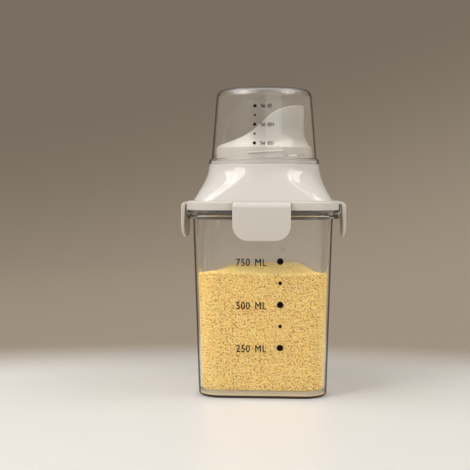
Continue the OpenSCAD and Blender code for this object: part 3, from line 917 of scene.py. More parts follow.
def materials(d):
    """Every finish of the jar, made once."""
    t = d.tints
    makers = {
        "jar_clear": (clear_plastic, t.clear, 0.12 * MM, 0.54, 0.7, 0.985),
        "cup_clear": (clear_plastic, t.clear, 0.06 * MM, 0.66, 0.81, 0.982),
        "cream_gloss": (glossy_cream, t.gloss),
        # The spout's cream is painted darker than the funnel's, and darker still above the collar: painted shade under
        # the cup.
        "shaded_spout_cream": (glossy_cream, t.spout, d.collar_top),
        "cream_satin": (satin_cream, t.satin),
        "pale_silicone": (silicone, t.silicone),
        "seal_and_plug_shade": (silicone, t.seal),
        "drawn_steel": (pin_steel,),
        "scale_ink": (scale_print, t.print),
        "loose_grits": (grits, t.grits_light, t.grits_deep),
        "packed_grits": (grits_behind, t.grits_light, t.grits_deep),
        "floor": (floor_finish, t, d.stage.fill),
    }
    return {name: bpy.data.materials.get(name) or make(Finish(name), *given) for name, (make, *given) in makers.items()}


# ---------------------------------------------------------------- pieces


class Builder:
    """What every operator of this add-on shares."""

    bl_options = {"REGISTER", "UNDO"}

    def execute(self, context):
        d = sizes()
        self.build(d, materials(d))
        return {"FINISHED"}


def body_half(d, z):
    """Half the width of the jar's body at height z."""
    return (d.jar.base_width + (d.jar.top_width - d.jar.base_width) * z / d.ring_z) / 2


def body_radius(d, half, z):
    """Corner radius of a section of the jar that is offset from its body."""
    return d.jar.corner_radius + half - body_half(d, min(z, d.ring_z))


class FOODJAR_OT_jar(Builder, Operator):
    """Build the clear jar with its foot, shoulder ring, groove and lip"""

    bl_idname = "food_jar.jar"
    bl_label = "Jar"

    def build(self, d, looks):
        jar = d.jar
        foot = body_half(d, 0) - jar.base_radius - jar.foot_width
        ring_half = d.lip_half + 0.3 * MM
        neck_half = d.lip_half - jar.lip_reach
        inside_half = body_half(d, jar.floor_height) - jar.wall
        edge, lip_edge, groove_edge, least_corner = 0.45 * MM, 0.7 * MM, 0.3 * MM, 4 * MM
        base_shade_to, glow_to, flat = 2.4 * MM, 6.7 * MM, 0.9985
        # The body has a row of points on either side of the height at which the painted glow of its base ends.
        glow_rows = [(body_half(d, z), z, 0) for z in (5.6 * MM, 6.8 * MM)]
        outline = soften(
            [
                (foot - 1 * MM, jar.foot_recess, 0),
                (foot, 0, edge),
                (body_half(d, 0), 0, jar.base_radius),
                *glow_rows,
                (body_half(d, d.ring_z), d.ring_z, edge),
                (ring_half, d.ring_z, 0.9 * MM),
                (ring_half, d.ring_top, 1.1 * MM),
                (neck_half, d.ring_top, groove_edge),
                (neck_half, d.lip_z, groove_edge),
                (d.lip_half, d.lip_z, lip_edge),
                (d.lip_half, d.jar_top, lip_edge),
                (d.mouth_half, d.jar_top, edge),
                (d.mouth_half, d.ring_z, edge),
                (inside_half, jar.floor_height, jar.inner_radius),
                (0.6 * inside_half, jar.floor_height, 0),
            ],
            steps=8,
            closed=False,
        )
        rings = [square_ring(p.x, max(least_corner, body_radius(d, p.x, p.y)), p.y) for p in outline]
        made = piece("jar", [skin(rings)], looks["jar_clear"])
        weigh_normals(made)

        def edge_shade_share(z, normal):
            """Flat sides and the inside floor get no painted edge shade; the lip and the ring get half as much as the
            body.
            """
            if max(abs(part) for part in normal) > flat or (normal.z > 0.5 and z < d.ring_z):
                return 0.0
            return 0.5 if z > d.ring_z else 1.0

        finish_clear(made, edge_shade_share, base_shade_to, glow_to)
        place(made, "jar", "clear_plastic", "jar")


class FOODJAR_OT_lid_rim(Builder, Operator):
    """Build the satin rim with its plug, gasket groove, latch notches and pin bores"""

    bl_idname = "food_jar.lid_rim"
    bl_label = "Lid rim"

    def build(self, d, looks):
        lid, satin = d.lid, looks["cream_satin"]
        out, hole = d.lip_half, d.hole_half
        plug_in, plug_z = d.plug_half - lid.plug_wall, d.rim_z - lid.plug_height
        groove_out, groove_z = d.plug_half + lid.groove_width, d.rim_z + lid.groove_depth
        edge, groove_edge = 0.3 * MM, 0.1 * MM
        outline = soften(
            [
                (out, d.rim_z, edge),
                (out, d.rim_top, lid.rim_edge),
                (hole, d.rim_top, 0.35 * MM),
                (hole, d.seat_z, 0.2 * MM),
                (plug_in, d.seat_z, edge),
                (plug_in, plug_z, edge),
                (d.plug_half, plug_z, 0.5 * MM),
                (d.plug_half, groove_z, groove_edge),
                (groove_out, groove_z, groove_edge),
                (groove_out, d.rim_z, groove_edge),
            ],
            steps=4,
        )
        corner = d.jar.corner_radius + d.jar.lip_out - d.lip_half
        rings = [square_ring(p.x, corner + p.x, p.y) for p in outline]
        made = piece("lid_rim", [skin(rings, endless=True)], satin)

        # The tools reach past the rim, and a pin is gripped at both ends beyond its notch.
        past, pin_grip, pin_fit = 1 * MM, 1.6 * MM, 0.02 * MM
        notch = block((-d.notch_half, -out - past, d.seat_z), (d.notch_half, -d.notch_u, d.rim_top + past))
        bore_half, bore_r = d.notch_half + pin_grip, d.latch.pin_width / 2 + pin_fit
        bore = skin([ring_round_x(x, -d.hinge_u, d.hinge_z, bore_r) for x in (-bore_half, bore_half)])
        for name, shell in (("notches", notch), ("pin_bores", bore)):
            combine(made, piece(name, [turned(shell, QUARTER * k) for k in range(4)], satin))

        # The faces under the rim's lower face, the plug, get the very dark seal finish: painted shade that stands in
        # for the shade under the rim.
        made.data.materials.append(looks["seal_and_plug_shade"])
        for face in made.data.polygons:
            face.material_index = int(face.center.z < d.rim_z - 0.01 * MM)
        settle(made)
        weigh_normals(made)
        place(made, "lid", "satin_cream", "lid_rim")


def funnel_section(half, part, z, corner):
    """A section of the funnel, between a rounded square (part 0) and a circle (part 1).

    On the square, the points run round a corner and back along a side. On the circle, a corner takes all of a quarter
    but 15 degrees at either end, which the sides take.
    """
    steps, side_steps, side_turn = 2 * CORNER_STEPS, CORNER_STEPS, 15
    flat = 2 * (half - corner)
    ring = []
    for quarter in range(4):
        centre, forth = corner_centre(quarter, half - corner), polar(1, math.radians(90 * quarter))
        for i in range(steps + side_steps):
            on_side = max(0, i - steps) / side_steps
            square = centre + polar(1, math.radians(90 * (quarter + min(1, i / steps)))) * corner
            square -= forth * (flat * on_side)
            swing = side_turn + (90 - 2 * side_turn) * min(i, steps) / steps + 2 * side_turn * on_side
            circle = polar(1, math.radians(90 * quarter + swing)) * half
            ring.append(square.lerp(circle, part) + Vector((0, 0, z)))
    return ring


class FOODJAR_OT_funnel(Builder, Operator):
    """Build the glossy funnel that runs from the square rim to the round neck"""

    bl_idname = "food_jar.funnel"
    bl_label = "Funnel"

    def build(self, d, looks):
        wall, rise = d.lid.funnel_wall, d.lid.funnel_height
        base_corner = d.jar.corner_radius + d.jar.lip_out - (d.lip_half - d.funnel_half)

        def half(z):
            """Half the outside width at height z."""
            if z <= d.rim_top:
                return d.funnel_half
            drop = max(0, d.funnel_top - z) / rise
            return d.funnel_top_r + (d.funnel_half - d.funnel_top_r) * drop**d.lid.funnel_sweep

        def part(z):
            """How round the section is at height z."""
            t = max(0, min(1, (z - d.rim_top) / (rise - wall)))
            return t * t * (3 - 2 * t)

        steps, top_edge, edge = 36, 0.6 * MM, 0.3 * MM
        climb = [d.rim_top + (rise - top_edge) * i / steps for i in range(steps + 1)]
        fall = [d.rim_top + (rise - wall) * i / steps for i in range(steps, -1, -1)]
        neck_out, neck_z = d.neck_r + d.lid.neck_wall, d.funnel_top - d.lid.neck_height
        outline = soften(
            [
                *((half(z), z, 0) for z in [d.seat_z, *climb]),
                (d.funnel_top_r, d.funnel_top, top_edge),
                (d.neck_r, d.funnel_top, 0.2 * MM),
                (d.neck_r, neck_z, edge),
                (neck_out, neck_z, edge),
                (neck_out, d.funnel_top - wall, edge),
                *((half(z) - wall, z, 0) for z in [*fall, d.seat_z]),
            ],
            steps=4,
        )
        rings = []
        for p in outline:
            in_neck = p.x <= neck_out + 1e-6
            corner = min(base_corner, base_corner + p.x - half(p.y))
            rings.append(funnel_section(p.x, 1 if in_neck else part(p.y), p.y, corner))
        made = piece("funnel", [skin(rings, endless=True)], looks["cream_gloss"], smooth=40)
        weigh_normals(made)
        place(made, "lid", "glossy_cream", "funnel")


def rim_curve(d):
    """Height of the spout's rim at x: a curve that starts low on the left and ends high on the right."""
    low, rise, r, steps = d.collar_top + 1.15 * MM, d.spout.beak_height, d.collar_r, 200
    # The four control points of the curve.
    across = (-r, 0.3 * r, -0.235 * r, d.beak_r)
    up = (low, low + 0.305 * rise, d.beak_top - 0.09 * rise, d.beak_top)

    def along(p, t):
        """The place at t, from 0 to 1, along four control values."""
        s = 1 - t
        return s**3 * p[0] + 3 * t * s * s * p[1] + 3 * t * t * s * p[2] + t**3 * p[3]

    table = [(along(across, i / steps), along(up, i / steps)) for i in range(steps + 1)]

    def height(x):
        k = bisect(table, (x, 0))
        if k == 0:
            return low
        if k == len(table):
            return d.beak_top
        (x0, z0), (x1, z1) = table[k - 1], table[k]
        return z0 + (z1 - z0) * (x - x0) / (x1 - x0)

    return height


def spout_radius(d, z):
    """Outside radius of the collar and the beak at height z."""
    sweep, lean = d.spout.sweep_radius, d.spout.beak_in
    top = d.collar_top + math.sqrt(max(0, sweep**2 - (sweep - lean) ** 2))
    drop = max(0, min(top - z, top - d.collar_top))
    return d.beak_r + sweep - math.sqrt(sweep**2 - drop**2)


class FOODJAR_OT_spout(Builder, Operator):
    """Build the collar, the scoop-shaped spout above it and the threads round it"""

    bl_idname = "food_jar.spout"
    bl_label = "Spout"

    def build(self, d, looks):
        wall = d.spout.wall
        skirt, skirt_z = d.collar_r - wall, d.collar_z - d.lid.neck_height
        height = rim_curve(d)

        def rim(cosine, inset):
            """Where a wall that is inset from the outside meets the rim: the range is halved until it is a point."""
            low, high = d.collar_top, d.beak_top
            for _ in range(40):
                z = (low + high) / 2
                if z < height((spout_radius(d, z) - inset) * cosine):
                    low = z
                else:
                    high = z
            return low

        steps, turns, edge, lip_edge = 16, TURN_STEPS * 3 // 2, 0.3 * MM, 0.5 * MM
        columns = []
        for i in range(turns):
            angle = math.tau * i / turns
            outer, inner = rim(math.cos(angle), 0), rim(math.cos(angle), wall)
            climb = [d.collar_top + (outer - d.collar_top) * k / steps for k in range(1, steps)]
            fall = [d.collar_top + (inner - d.collar_top) * k / steps for k in range(steps - 1, -1, -1)]
            outline = soften(
                [
                    (skirt, skirt_z, edge),
                    (skirt, d.collar_z, 0.1 * MM),
                    (d.collar_r, d.collar_z, edge),
                    (d.collar_r, d.collar_top, 1.2 * MM),
                    *((spout_radius(d, z), z, 0) for z in climb),
                    (spout_radius(d, outer), outer, lip_edge),
                    (spout_radius(d, inner) - wall, inner, lip_edge),
                    *((spout_radius(d, z) - wall, z, 0) for z in fall),
                    (d.collar_r - wall, d.collar_z + 1.5 * MM, lip_edge),
                    (skirt - wall, d.collar_z - 1 * MM, lip_edge),
                    (skirt - wall, skirt_z, edge),
                ],
                steps=4,
            )
            columns.append(stand(outline, angle))
        made = piece("spout", [skin(columns, endless=True)], looks["shaded_spout_cream"], smooth=40)
        place(made, "lid", "glossy_cream", "spout")

        thread = piece("spout_threads", [self.thread(d)], looks["shaded_spout_cream"], smooth=50)
        copies_round_axis().run(thread, Count=d.spout.thread_count, Material=looks["shaded_spout_cream"])
        place(thread, "lid", "glossy_cream")

    @staticmethod
    def thread(d, steps=28):
        """One sloping thread as a shell, with a rounded crest and ends that run out into the collar."""
        s, root, edge = d.spout, d.collar_r - 0.3 * MM, 0.25 * MM
        rings = []
        for i in range(steps + 1):
            t = i / steps
            # It grows to its full size over the first eighth, and runs out over the last twentieth.
            tip = d.collar_r + s.thread_reach * min(1, 0.25 + t * 6, 0.25 + (1 - t) * 16)
            half = s.thread_height / 2 * min(1, 0.5 + t * 6)
            z = d.thread_z + s.thread_rise * t
            crest = [(tip, z - 0.6 * half, edge), (tip, z + 0.6 * half, edge)]
            section = soften([(root, z - half, 0), *crest, (root, z + half, 0)])
            rings.append(stand(section, d.thread_start + s.thread_turn * t))
        return skin(rings)


def cup_radius(d, z):
    """Outside radius of the cup at height z."""
    cup = d.cup
    return d.mouth_r - cup.taper / 2 * (z - d.cup_z) / (d.cup_top - d.cup_z - cup.edge_radius)


class FOODJAR_OT_cup(Builder, Operator):
    """Build the clear measuring cup with its rim band, seal groove and lugs"""

    bl_idname = "food_jar.cup"
    bl_label = "Cup"

    def build(self, d, looks):
        cup, clear = d.cup, looks["cup_clear"]
        band_top, ceiling = d.cup_z + cup.band_height, d.cup_top - cup.floor
        side_gap, edge, groove_edge, flat = 0.1 * MM, 0.4 * MM, 0.15 * MM, 0.999
        groove_in, groove_out = d.seal_r - cup.seal_width / 2 - side_gap, d.seal_r + cup.seal_width / 2 + side_gap
        groove_z = d.cup_z + cup.seal_height - cup.band_gap + REST_GAP
        outline = soften(
            [
                (0, ceiling, 0),
                (cup_radius(d, ceiling) - cup.wall, ceiling, cup.edge_radius - 1 * MM),
                (d.bore_r, d.cup_z, edge),
                (groove_in, d.cup_z, groove_edge),
                (groove_in, groove_z, groove_edge),
                (groove_out, groove_z, groove_edge),
                (groove_out, d.cup_z, groove_edge),
                (d.band_r, d.cup_z, edge),
                (d.band_r - 0.3 * MM, band_top, 0.8 * MM),
                (cup_radius(d, band_top), band_top, 0.6 * MM),
                (cup_radius(d, d.cup_top), d.cup_top, cup.edge_radius),
                (0, d.cup_top, 0),
            ],
            steps=10,
            closed=False,
        )
        made = piece("cup", [skin([circle_ring(max(p.x, 0.2 * MM), p.y) for p in outline])], clear)
        lugs = piece("cup_lugs", [self.lug(d)], clear)
        copies_round_axis().run(lugs, Count=d.spout.thread_count, Material=clear)
        combine(made, lugs, "UNION")
        settle(made)
        weigh_normals(made)

        def edge_shade_share(z, normal):
            """The closed end gets no painted edge shade, outside and inside."""
            return 0.0 if normal.z > flat or (normal.z < -0.5 and z > band_top) else 1.0

        finish_clear(made, edge_shade_share)
        place(made, "cup", "cup_plastic", "cup")

    @staticmethod
    def lug(d, steps=14):
        """One lug inside the cup as a shell."""
        start = d.thread_start + d.spout.thread_turn + math.radians(3)
        tip, root, high, edge = d.collar_r + 0.35 * MM, d.bore_r + 0.3 * MM, 1.5 * MM, 0.2 * MM
        crest = [(tip, d.lug_top - 0.8 * high, edge), (tip, d.lug_top - 0.2 * high, edge)]
        section = soften([*crest, (root, d.lug_top, 0), (root, d.lug_top - high, 0)], steps=2)
        return skin([stand(section, start + d.cup.lug_turn * i / steps) for i in range(steps + 1)])


class FOODJAR_OT_latches(Builder, Operator):
    """Build the four latches, each a plate with a hinge barrel and a hook"""

    bl_idname = "food_jar.latches"
    bl_label = "Latches"

    def build(self, d, looks):
        shells = [self.plate(d), self.barrel(d), self.hook(d)]
        for k, side in enumerate(SIDES):
            name = "latch_" + side
            made = piece(name, [turned(shell, QUARTER * k) for shell in shells], looks["cream_satin"], smooth=40)
            weigh_normals(made)
            place(made, name, "satin_cream", name)

    @staticmethod
    def plate(d):
        """The web, shoulder and plate of the front latch, with all their free edges rounded."""
        latch = d.latch
        web, edge, r, shoulder = latch.barrel_radius + 0.1 * MM, latch.edge, latch.corner_radius, 3.2 * MM
        half, low, tall = latch.width / 2, d.latch_z, latch.height - web - latch.slope
        web_u, web_z = d.hinge_u + 0.8 * MM, d.latch_top - web - latch.slope

        def plate_row(z):
            """The plate's outside and inside at height z: it curls in and thins towards its lower end."""
            out = d.plate_u - latch.curl_in * max(0, 1 - (z - low) / latch.curl_height) ** 2
            thick = latch.thickness + (latch.root_thickness - latch.thickness) * (z - low) / tall
            return (out, z), (out - thick, z)

        # Each station is a place on the outside and the place behind it: the web, the shoulder, then the plate.
        stations = [((web_u, d.latch_top - 0.12 * MM), (web_u, d.latch_top - web))]
        inner_top = plate_row(web_z)[1][0]
        for i in range(11):
            a = math.radians(9 * i)
            across, down = shoulder * (1 - math.sin(a)), shoulder * (1 - math.cos(a))
            outside = (d.plate_u - across, d.latch_top - (down + latch.slope))
            stations.append((outside, (inner_top - 0.4 * across, web_z - 0.12 * down)))
        # The rows of the plate follow its round lower corners and, at its very end, the rounding of its edge.
        heights = [low + r * (1 - math.sin(math.radians(6 * i))) for i in range(14)]
        heights += [low + edge * part for part in (1, 0.62, 0.3, 0.08, 0)]
        heights += [low + r + 2 * MM, low + r + 6 * MM]
        stations += [plate_row(z) for z in sorted({round(z, 7) for z in heights if z >= low}, reverse=True)]

        insets = [part * edge for part in (0, 0.03, 0.12, 0.3, 0.6, 1)]
        rings = []
        for (ou, oz), (iu, iz) in stations:
            drop = max(0, low + r - oz)
            wide = half - r + math.sqrt(max(0, r * r - drop * drop))
            xs = [-wide + inset for inset in insets]
            xs += [wide * 0.9 * (k / 6) for k in range(-5, 6)]
            xs += [wide - inset for inset in reversed(insets)]
            outer, inner = [], []
            for x in xs:
                # Reach: how far the point lies in from the nearest free edge. Sink: how far the rounding takes it in.
                reach = half - abs(x)
                if oz < low + r:
                    reach = min(reach, oz - low)
                    if abs(x) > half - r:
                        reach = r - math.hypot(abs(x) - (half - r), drop)
                reach = max(0, min(edge, reach))
                sink = edge - math.sqrt(max(0, edge * edge - (edge - reach) ** 2))
                inwards = Vector((iu - ou, iz - oz)).normalized() * sink
                outer.append(Vector((x, -(ou + inwards.x), oz + inwards.y)))
                inner.append(Vector((x, -(iu - inwards.x), iz - inwards.y)))
            rings.append(outer + inner[::-1])
        return skin(rings)

    @staticmethod
    def barrel(d):
        """The hinge barrel with its bore."""
        half, r, bore, edge = d.latch.width / 2, d.latch.barrel_radius, d.latch.pin_width / 2 + 0.06 * MM, 0.25 * MM
        outline = soften([(-half, bore, 0), (half, bore, 0), (half, r, edge), (-half, r, edge)])
        return skin([ring_round_x(p.x, -d.hinge_u, d.hinge_z, p.y) for p in outline], endless=True)

    @staticmethod
    def hook(d):
        """The strut behind the plate and the hook on it, a little slimmer at both ends."""
        latch = d.latch
        strut, thick, end = d.lip_half + 1.4 * MM, 1.4 * MM, 0.2 * MM
        back, root = strut + thick, d.latch_top - latch.barrel_radius - latch.slope / 2
        top, tip = d.lip_z - 0.1 * MM, d.lip_half + 0.15 * MM
        low, half = top - latch.hook, latch.width / 2 - 3 * MM
        outline = soften([
            (strut, root, 0), (strut, top, 0.15 * MM), (tip, top, 0.2 * MM),
            (tip, low, 0.3 * MM), (back, low, 0.3 * MM), (back, root, 0),
        ])
        middle = Vector((strut + thick / 2, (root + low) / 2))
        rings = []
        for x, slim in ((-half, 1), (-half + end, 0), (half - end, 0), (half, 1)):
            pull_u, pull_z = 0.06 * slim, 0.012 * slim
            rings.append([
                Vector((x, -(p.x + (middle.x - p.x) * pull_u), p.y + (middle.y - p.y) * pull_z)) for p in outline
            ])
        return skin(rings)


class FOODJAR_OT_small_parts(Builder, Operator):
    """Give the gasket, the cup's seal and the hinge pins their finish"""

    bl_idname = "food_jar.small_parts"
    bl_label = "Seals and pins"

    def build(self, d, looks):
        pins = {"pin_" + side: "drawn_steel" for side in SIDES}
        # The gasket takes the very dark seal finish, which is partly painted shade under the rim.
        for node, look in {"lid_gasket": "seal_and_plug_shade", "cup_seal": "pale_silicone", **pins}.items():
            mesh = frame["nodes"][node].data
            mesh.materials.clear()
            mesh.materials.append(looks[look])


def words_mesh(words, width, height, thickness, bold):
    """A line of letters as a mesh on the plane z = 0, centred and facing +Z, struck twice to make it bold."""
    curve = bpy.data.curves.new("words", "FONT")
    curve.body, curve.extrude, curve.resolution_u = words, 0.5, 3
    curve.space_character, curve.space_word = 1.12, 1.5
    writing = add("words", curve)
    bpy.context.view_layer.update()
    mesh = plain_mesh(writing)
    bpy.data.objects.remove(writing)
    bpy.data.curves.remove(curve)
    points = [v.co.copy() for v in mesh.vertices]
    faces = [tuple(face.vertices) for face in mesh.polygons]
    bpy.data.meshes.remove(mesh)
    low = Vector(min(p[i] for p in points) for i in range(3))
    high = Vector(max(p[i] for p in points) for i in range(3))
    size, middle = high - low, (low + high) / 2
    points = [
        Vector((
            (p.x - middle.x) / size.x * width,
            (p.y - middle.y) / size.y * height,
            (p.z - low.z) / size.z * thickness,
        ))
        for p in points
    ]
    twice = [p + Vector((shift, 0.2 * shift, 0)) for shift in (-bold / 2, bold / 2) for p in points]
    return twice, faces + [tuple(i + len(points) for i in face) for face in faces]


class FOODJAR_OT_scales(Builder, Operator):
    """Print the plain volume scales on the jar and on the cup"""

    bl_idname = "food_jar.scales"
    bl_label = "Scales"

    def build(self, d, looks):
        s, ink, marks = d.scales, looks["scale_ink"], row_of_marks()

        def dots(name, large, small, **row):
            """A row of five round marks."""
            made = piece(name, [block((0, 0, 0), (MM, MM, MM))], ink)
            return marks.run(made, Count=5, Large=large, Small=small, Thickness=s.thickness, Material=ink, **row)

        self.jar_scale(d, s, ink, dots)
        self.cup_scale(d, s, ink, dots)

    @staticmethod
    def jar_scale(d, s, ink, dots):
        """Print the scale on the jar's front, which leans a little."""
        low, step = s.jar_low, s.jar_step / 2
        lean = (body_half(d, d.ring_z) - body_half(d, 0)) / d.ring_z
        row = dots(
            "jar_scale_dots", s.jar_mark, 0.56 * s.jar_mark,
            Start=Vector((s.jar_mark_x, -(body_half(d, low) + PRINT_GAP + s.thickness / 2), low)),
            Step=Vector((0, -lean * step, step)),
            Turn=Vector((QUARTER + math.atan(lean), 0, 0)),
        )
        place(row, "jar", "clear_plastic")

        shells = []
        for k, words in enumerate(("250 ML", "500 ML", "750 ML")):
            points, faces = words_mesh(words, s.jar_words_width, s.jar_words_height, s.thickness, s.bold)
            middle = Vector((s.jar_words_x - s.jar_words_width / 2, low + k * s.jar_step - s.jar_words_drop))
            printed = []
            for p in points:
                z = middle.y + p.y
                printed.append(Vector((middle.x + p.x, -(body_half(d, z) + PRINT_GAP + p.z), z)))
            shells.append((printed, faces))
        place(piece("jar_scale_words", shells, ink), "jar", "clear_plastic")

    @staticmethod
    def cup_scale(d, s, ink, dots):
        """Print the scale on the cup, wrapped round it. The cup stands upside down, and so do its words."""
        top, step, top_r = s.cup_top, s.cup_step, cup_radius(d, s.cup_top)
        lean = d.cup.taper / 2 / (d.cup_top - d.cup_z - d.cup.edge_radius)
        marks_at = -QUARTER + -5.5 * MM / top_r
        words_at = marks_at + 3.4 * MM / top_r
        out = polar(1, marks_at)
        row = dots(
            "cup_scale_dots", s.cup_mark, 0.62 * s.cup_mark,
            Start=out * (top_r + PRINT_GAP + s.thickness / 2) + Vector((0, 0, top)),
            Step=out * lean * step - Vector((0, 0, step)),
            Turn=Vector((QUARTER - math.atan(lean), 0, marks_at + QUARTER)),
        )
        place(row, "cup", "cup_plastic")

        shells = []
        for k, (words, share) in enumerate((("50 ML", 0.85), ("100 ML", 1), ("150 ML", 1))):
            width = s.cup_words_width * share
            points, faces = words_mesh(words, width, s.cup_words_height, s.thickness, 0.8 * s.bold)
            height = top - 2 * k * step
            around = cup_radius(d, height)
            start = words_at + width / 2 / around
            printed = []
            for p in points:
                z = height - p.y
                printed.append(polar(cup_radius(d, z) + PRINT_GAP + p.z, start - p.x / around, z))
            shells.append((printed, faces))
        place(piece("cup_scale_words", shells, ink), "cup", "cup_plastic")


def heap_height(d, x, y, reach):
    """Height of the fill over a point of the jar's floor: heaped in the middle, and lower towards the back corners."""
    g = d.grits
    out = min(1, max(abs(x), abs(y)) / reach)
    side = min(1, max(0, 2 * abs(x) / reach - 1))
    fall = g.fall * (0.5 + 0.5 * y / reach) * (0.15 + 0.85 * side * side * (3 - 2 * side))
    # Slow waves over the heap, which fade towards the walls.
    sway = 0.9 * MM * math.sin(x * 61 + 0.6) * math.cos(y * 47 - 0.4) + 0.5 * MM * math.sin(x * 170 + y * 120)
    return g.level + g.heap * (1 - out * out) ** 1.2 - fall + sway * (1 - 0.4 * out)


class FOODJAR_OT_grits(Builder, Operator):
    """Fill the jar with grits: a solid mass, and loose grits over each of its sides and its top"""

    bl_idname = "food_jar.grits"
    bl_label = "Grits"

    def build(self, d, looks):
        g, base = d.grits, d.jar.inner_radius
        if not g.show:
            return
        # The mass leaves room for one layer of loose grits.
        inset = d.jar.wall + REST_GAP + 0.62 * g.grit
        floor = d.jar.floor_height + 0.6 * g.grit
        reach = body_half(d, g.level) - inset
        wall_steps, top_steps = 6, 15

        def wall_ring(z, pull=0.0):
            """A section of the mass at height z."""
            half = body_half(d, z) - inset - pull
            return square_ring(half, max(2 * MM, body_radius(d, half, z)), z, CORNER_STEPS // 2)

        def on_top(x, y):
            """The point of the heap over a place on the floor."""
            return Vector((x, y, heap_height(d, x, y, reach)))

        walls = [wall_ring(floor, base)]
        for k in range(1, 5):
            a = math.radians(22.5 * k)
            walls.append(wall_ring(floor + base * (1 - math.cos(a)), base * (1 - math.sin(a))))
        top_ring = [on_top(p.x, p.y) for p in wall_ring(g.level)]
        pairs = list(zip(wall_ring(floor + base), top_ring))
        walls += [[low.lerp(high, k / wall_steps) for low, high in pairs] for k in range(1, wall_steps + 1)]
        shares = [1 - k / top_steps for k in range(1, top_steps)]
        heap = [[on_top(p.x * share, p.y * share) for p in top_ring] for share in shares]
        place(piece("grits_mass", [skin(walls + heap)], looks["packed_grits"]), "jar", "grits", "grits")

        spread = spread_of_grits()

        def cover(patch, seed):
            """Swap a patch for loose grits on it."""
            spread.run(patch, Spacing=g.spacing, Size=g.grit, Seed=seed, Material=looks["loose_grits"])
            place(patch, "jar", "grits")

        size = len(top_ring)
        quarter = size // 4
        for k, side in enumerate(SIDES):
            # The side's strip runs from the middle of one corner to the middle of the next.
            first = (2 * k - 3) * quarter // 2
            strip = [[ring[(first + i) % size] for i in range(quarter + 1)] for ring in walls]
            patch = piece("grits_" + side, [skin(strip, round_trip=False)], looks["loose_grits"])
            self.face_out(patch, Vector((0, 0, g.level / 2)))
            cover(patch, g.seed + k)
        patch = piece("grits_top", [skin([top_ring, *heap])], looks["loose_grits"])
        self.face_out(patch, Vector((0, 0, 0)))
        with opened(patch) as shape:
            # The lowest face only closes the cap from below.
            under = max(shape.faces, key=lambda face: face.calc_area())
            bmesh.ops.delete(shape, geom=[under], context="FACES")
        cover(patch, g.seed + 4)

    @staticmethod
    def face_out(made, middle):
        """Turn every face of an open patch away from a point."""
        with opened(made) as shape:
            for face in shape.faces:
                if face.normal.dot(face.calc_center_median() - middle) < 0:
                    face.normal_flip()


# ---------------------------------------------------------------- stage


def around(azimuth, elevation, distance, z=120 * MM):
    """A place at an azimuth from the front, in degrees, above the horizon."""
    a, e = math.radians(azimuth), math.radians(elevation)
    return (math.sin(a) * math.cos(e) * distance, -math.cos(a) * math.cos(e) * distance, z + math.sin(e) * distance)


def lamp(name, spot, target, width, height, power, colour):
    """A rectangular soft lamp that faces a target and doesn't show itself to the camera."""
    light = bpy.data.lights.new(name, "AREA")
    light.shape, light.size, light.size_y, light.energy, light.color = "RECTANGLE", width, height, power, colour
    made = add(name, light)
    made.location = spot
    made.rotation_euler = (Vector(target) - Vector(spot)).to_track_quat("-Z", "Y").to_euler()
    made.visible_camera = False
    return made


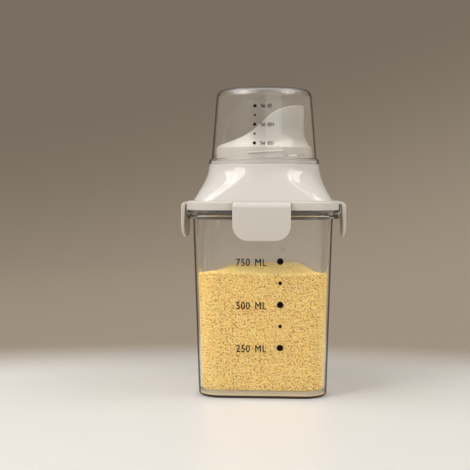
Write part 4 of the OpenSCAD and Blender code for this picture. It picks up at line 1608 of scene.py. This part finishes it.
class FOODJAR_OT_stage(Builder, Operator):
    """Build the floor with its backdrop, the lamps and the camera"""

    bl_idname = "food_jar.stage"
    bl_label = "Stage"

    def build(self, d, looks):
        scene, s = bpy.context.scene, d.stage
        reach, bend, high, under, steps = 1.5, 0.35, 1.3, -0.2 * MM, 96
        outline = soften([(MM, under, 0), (reach - 0.15, under, bend), (reach, high, 0)], steps=12, closed=False)
        floor = piece("floor", [skin([circle_ring(p.x, p.y, steps) for p in outline])], looks["floor"], smooth=60)
        with opened(floor) as shape:
            # The backdrop is open at the top, and its inside is what is seen.
            top = max(shape.faces, key=lambda face: face.calc_center_median().z)
            bmesh.ops.delete(shape, geom=[top], context="FACES")
            bmesh.ops.reverse_faces(shape, faces=shape.faces)

        middle, cool, warm = (0, 0, 130 * MM), (1, 0.99, 0.975), (1, 0.985, 0.965)
        lamp("window_lamp", around(-52, 46, 1.0), middle, 0.42, 0.95, s.key_power, cool)
        lamp("left_lamp", around(-85, 52, 1.0), middle, 0.39, 0.48, s.side_power, cool)
        lamp("right_lamp", around(85, 52, 1.0), middle, 0.39, 0.48, s.side_power, warm)
        lamp("streak_lamp", around(62, 48, 1.0), middle, 0.10, 0.95, s.streak_power, warm)
        lamp("front_lamp", around(25, 20, 1.2), middle, 0.8, 0.8, s.front_power, cool).visible_glossy = False

        scene.world = bpy.data.worlds.new("room")
        scene.world.use_nodes = True
        sockets = scene.world.node_tree.nodes["Background"].inputs
        sockets["Color"].default_value, sockets["Strength"].default_value = ROOM_LIGHT, s.fill

        camera = bpy.data.cameras.new("camera")
        camera.lens, camera.sensor_width = s.lens, 36
        scene.camera = add("camera", camera)
        scene.camera.location = (s.sideways, -s.distance, s.eye_height)
        scene.camera.rotation_euler = (QUARTER - s.pitch, 0, s.yaw)
        scene.view_settings.view_transform = "Standard"


# ---------------------------------------------------------------- panel and run

OPERATORS = (
    FOODJAR_OT_jar,
    FOODJAR_OT_lid_rim,
    FOODJAR_OT_funnel,
    FOODJAR_OT_spout,
    FOODJAR_OT_cup,
    FOODJAR_OT_latches,
    FOODJAR_OT_small_parts,
    FOODJAR_OT_scales,
    FOODJAR_OT_grits,
    FOODJAR_OT_stage,
)


class FOODJAR_PT_panel(Panel):
    """Sizes, colours and buttons of the food jar"""

    bl_label = "Food jar"
    bl_idname = "FOODJAR_PT_panel"
    bl_space_type = "VIEW_3D"
    bl_region_type = "UI"
    bl_category = "Food jar"

    def draw(self, context):
        for name in FoodJar.__annotations__:
            box, group = self.layout.box(), getattr(context.scene.food_jar, name)
            box.label(text=name.title())
            for key in group.__annotations__:
                box.prop(group, key)
        for operator in OPERATORS:
            self.layout.operator(operator.bl_idname)


CLASSES = (
    JarSizes, LidSizes, SpoutSizes, CupSizes, LatchSizes, ScaleSizes, GritSizes, Tints, StageSettings, FoodJar,
    *OPERATORS, FOODJAR_PT_panel,
)


def register():
    for cls in CLASSES:
        bpy.utils.register_class(cls)
    bpy.types.Scene.food_jar = PointerProperty(type=FoodJar)


def unregister():
    del bpy.types.Scene.food_jar
    for cls in reversed(CLASSES):
        bpy.utils.unregister_class(cls)


def main():
    """Build everything."""
    register()
    for operator in OPERATORS:
        getattr(bpy.ops.food_jar, operator.bl_idname.split(".")[1])()


if __name__ == "__main__":
    main()
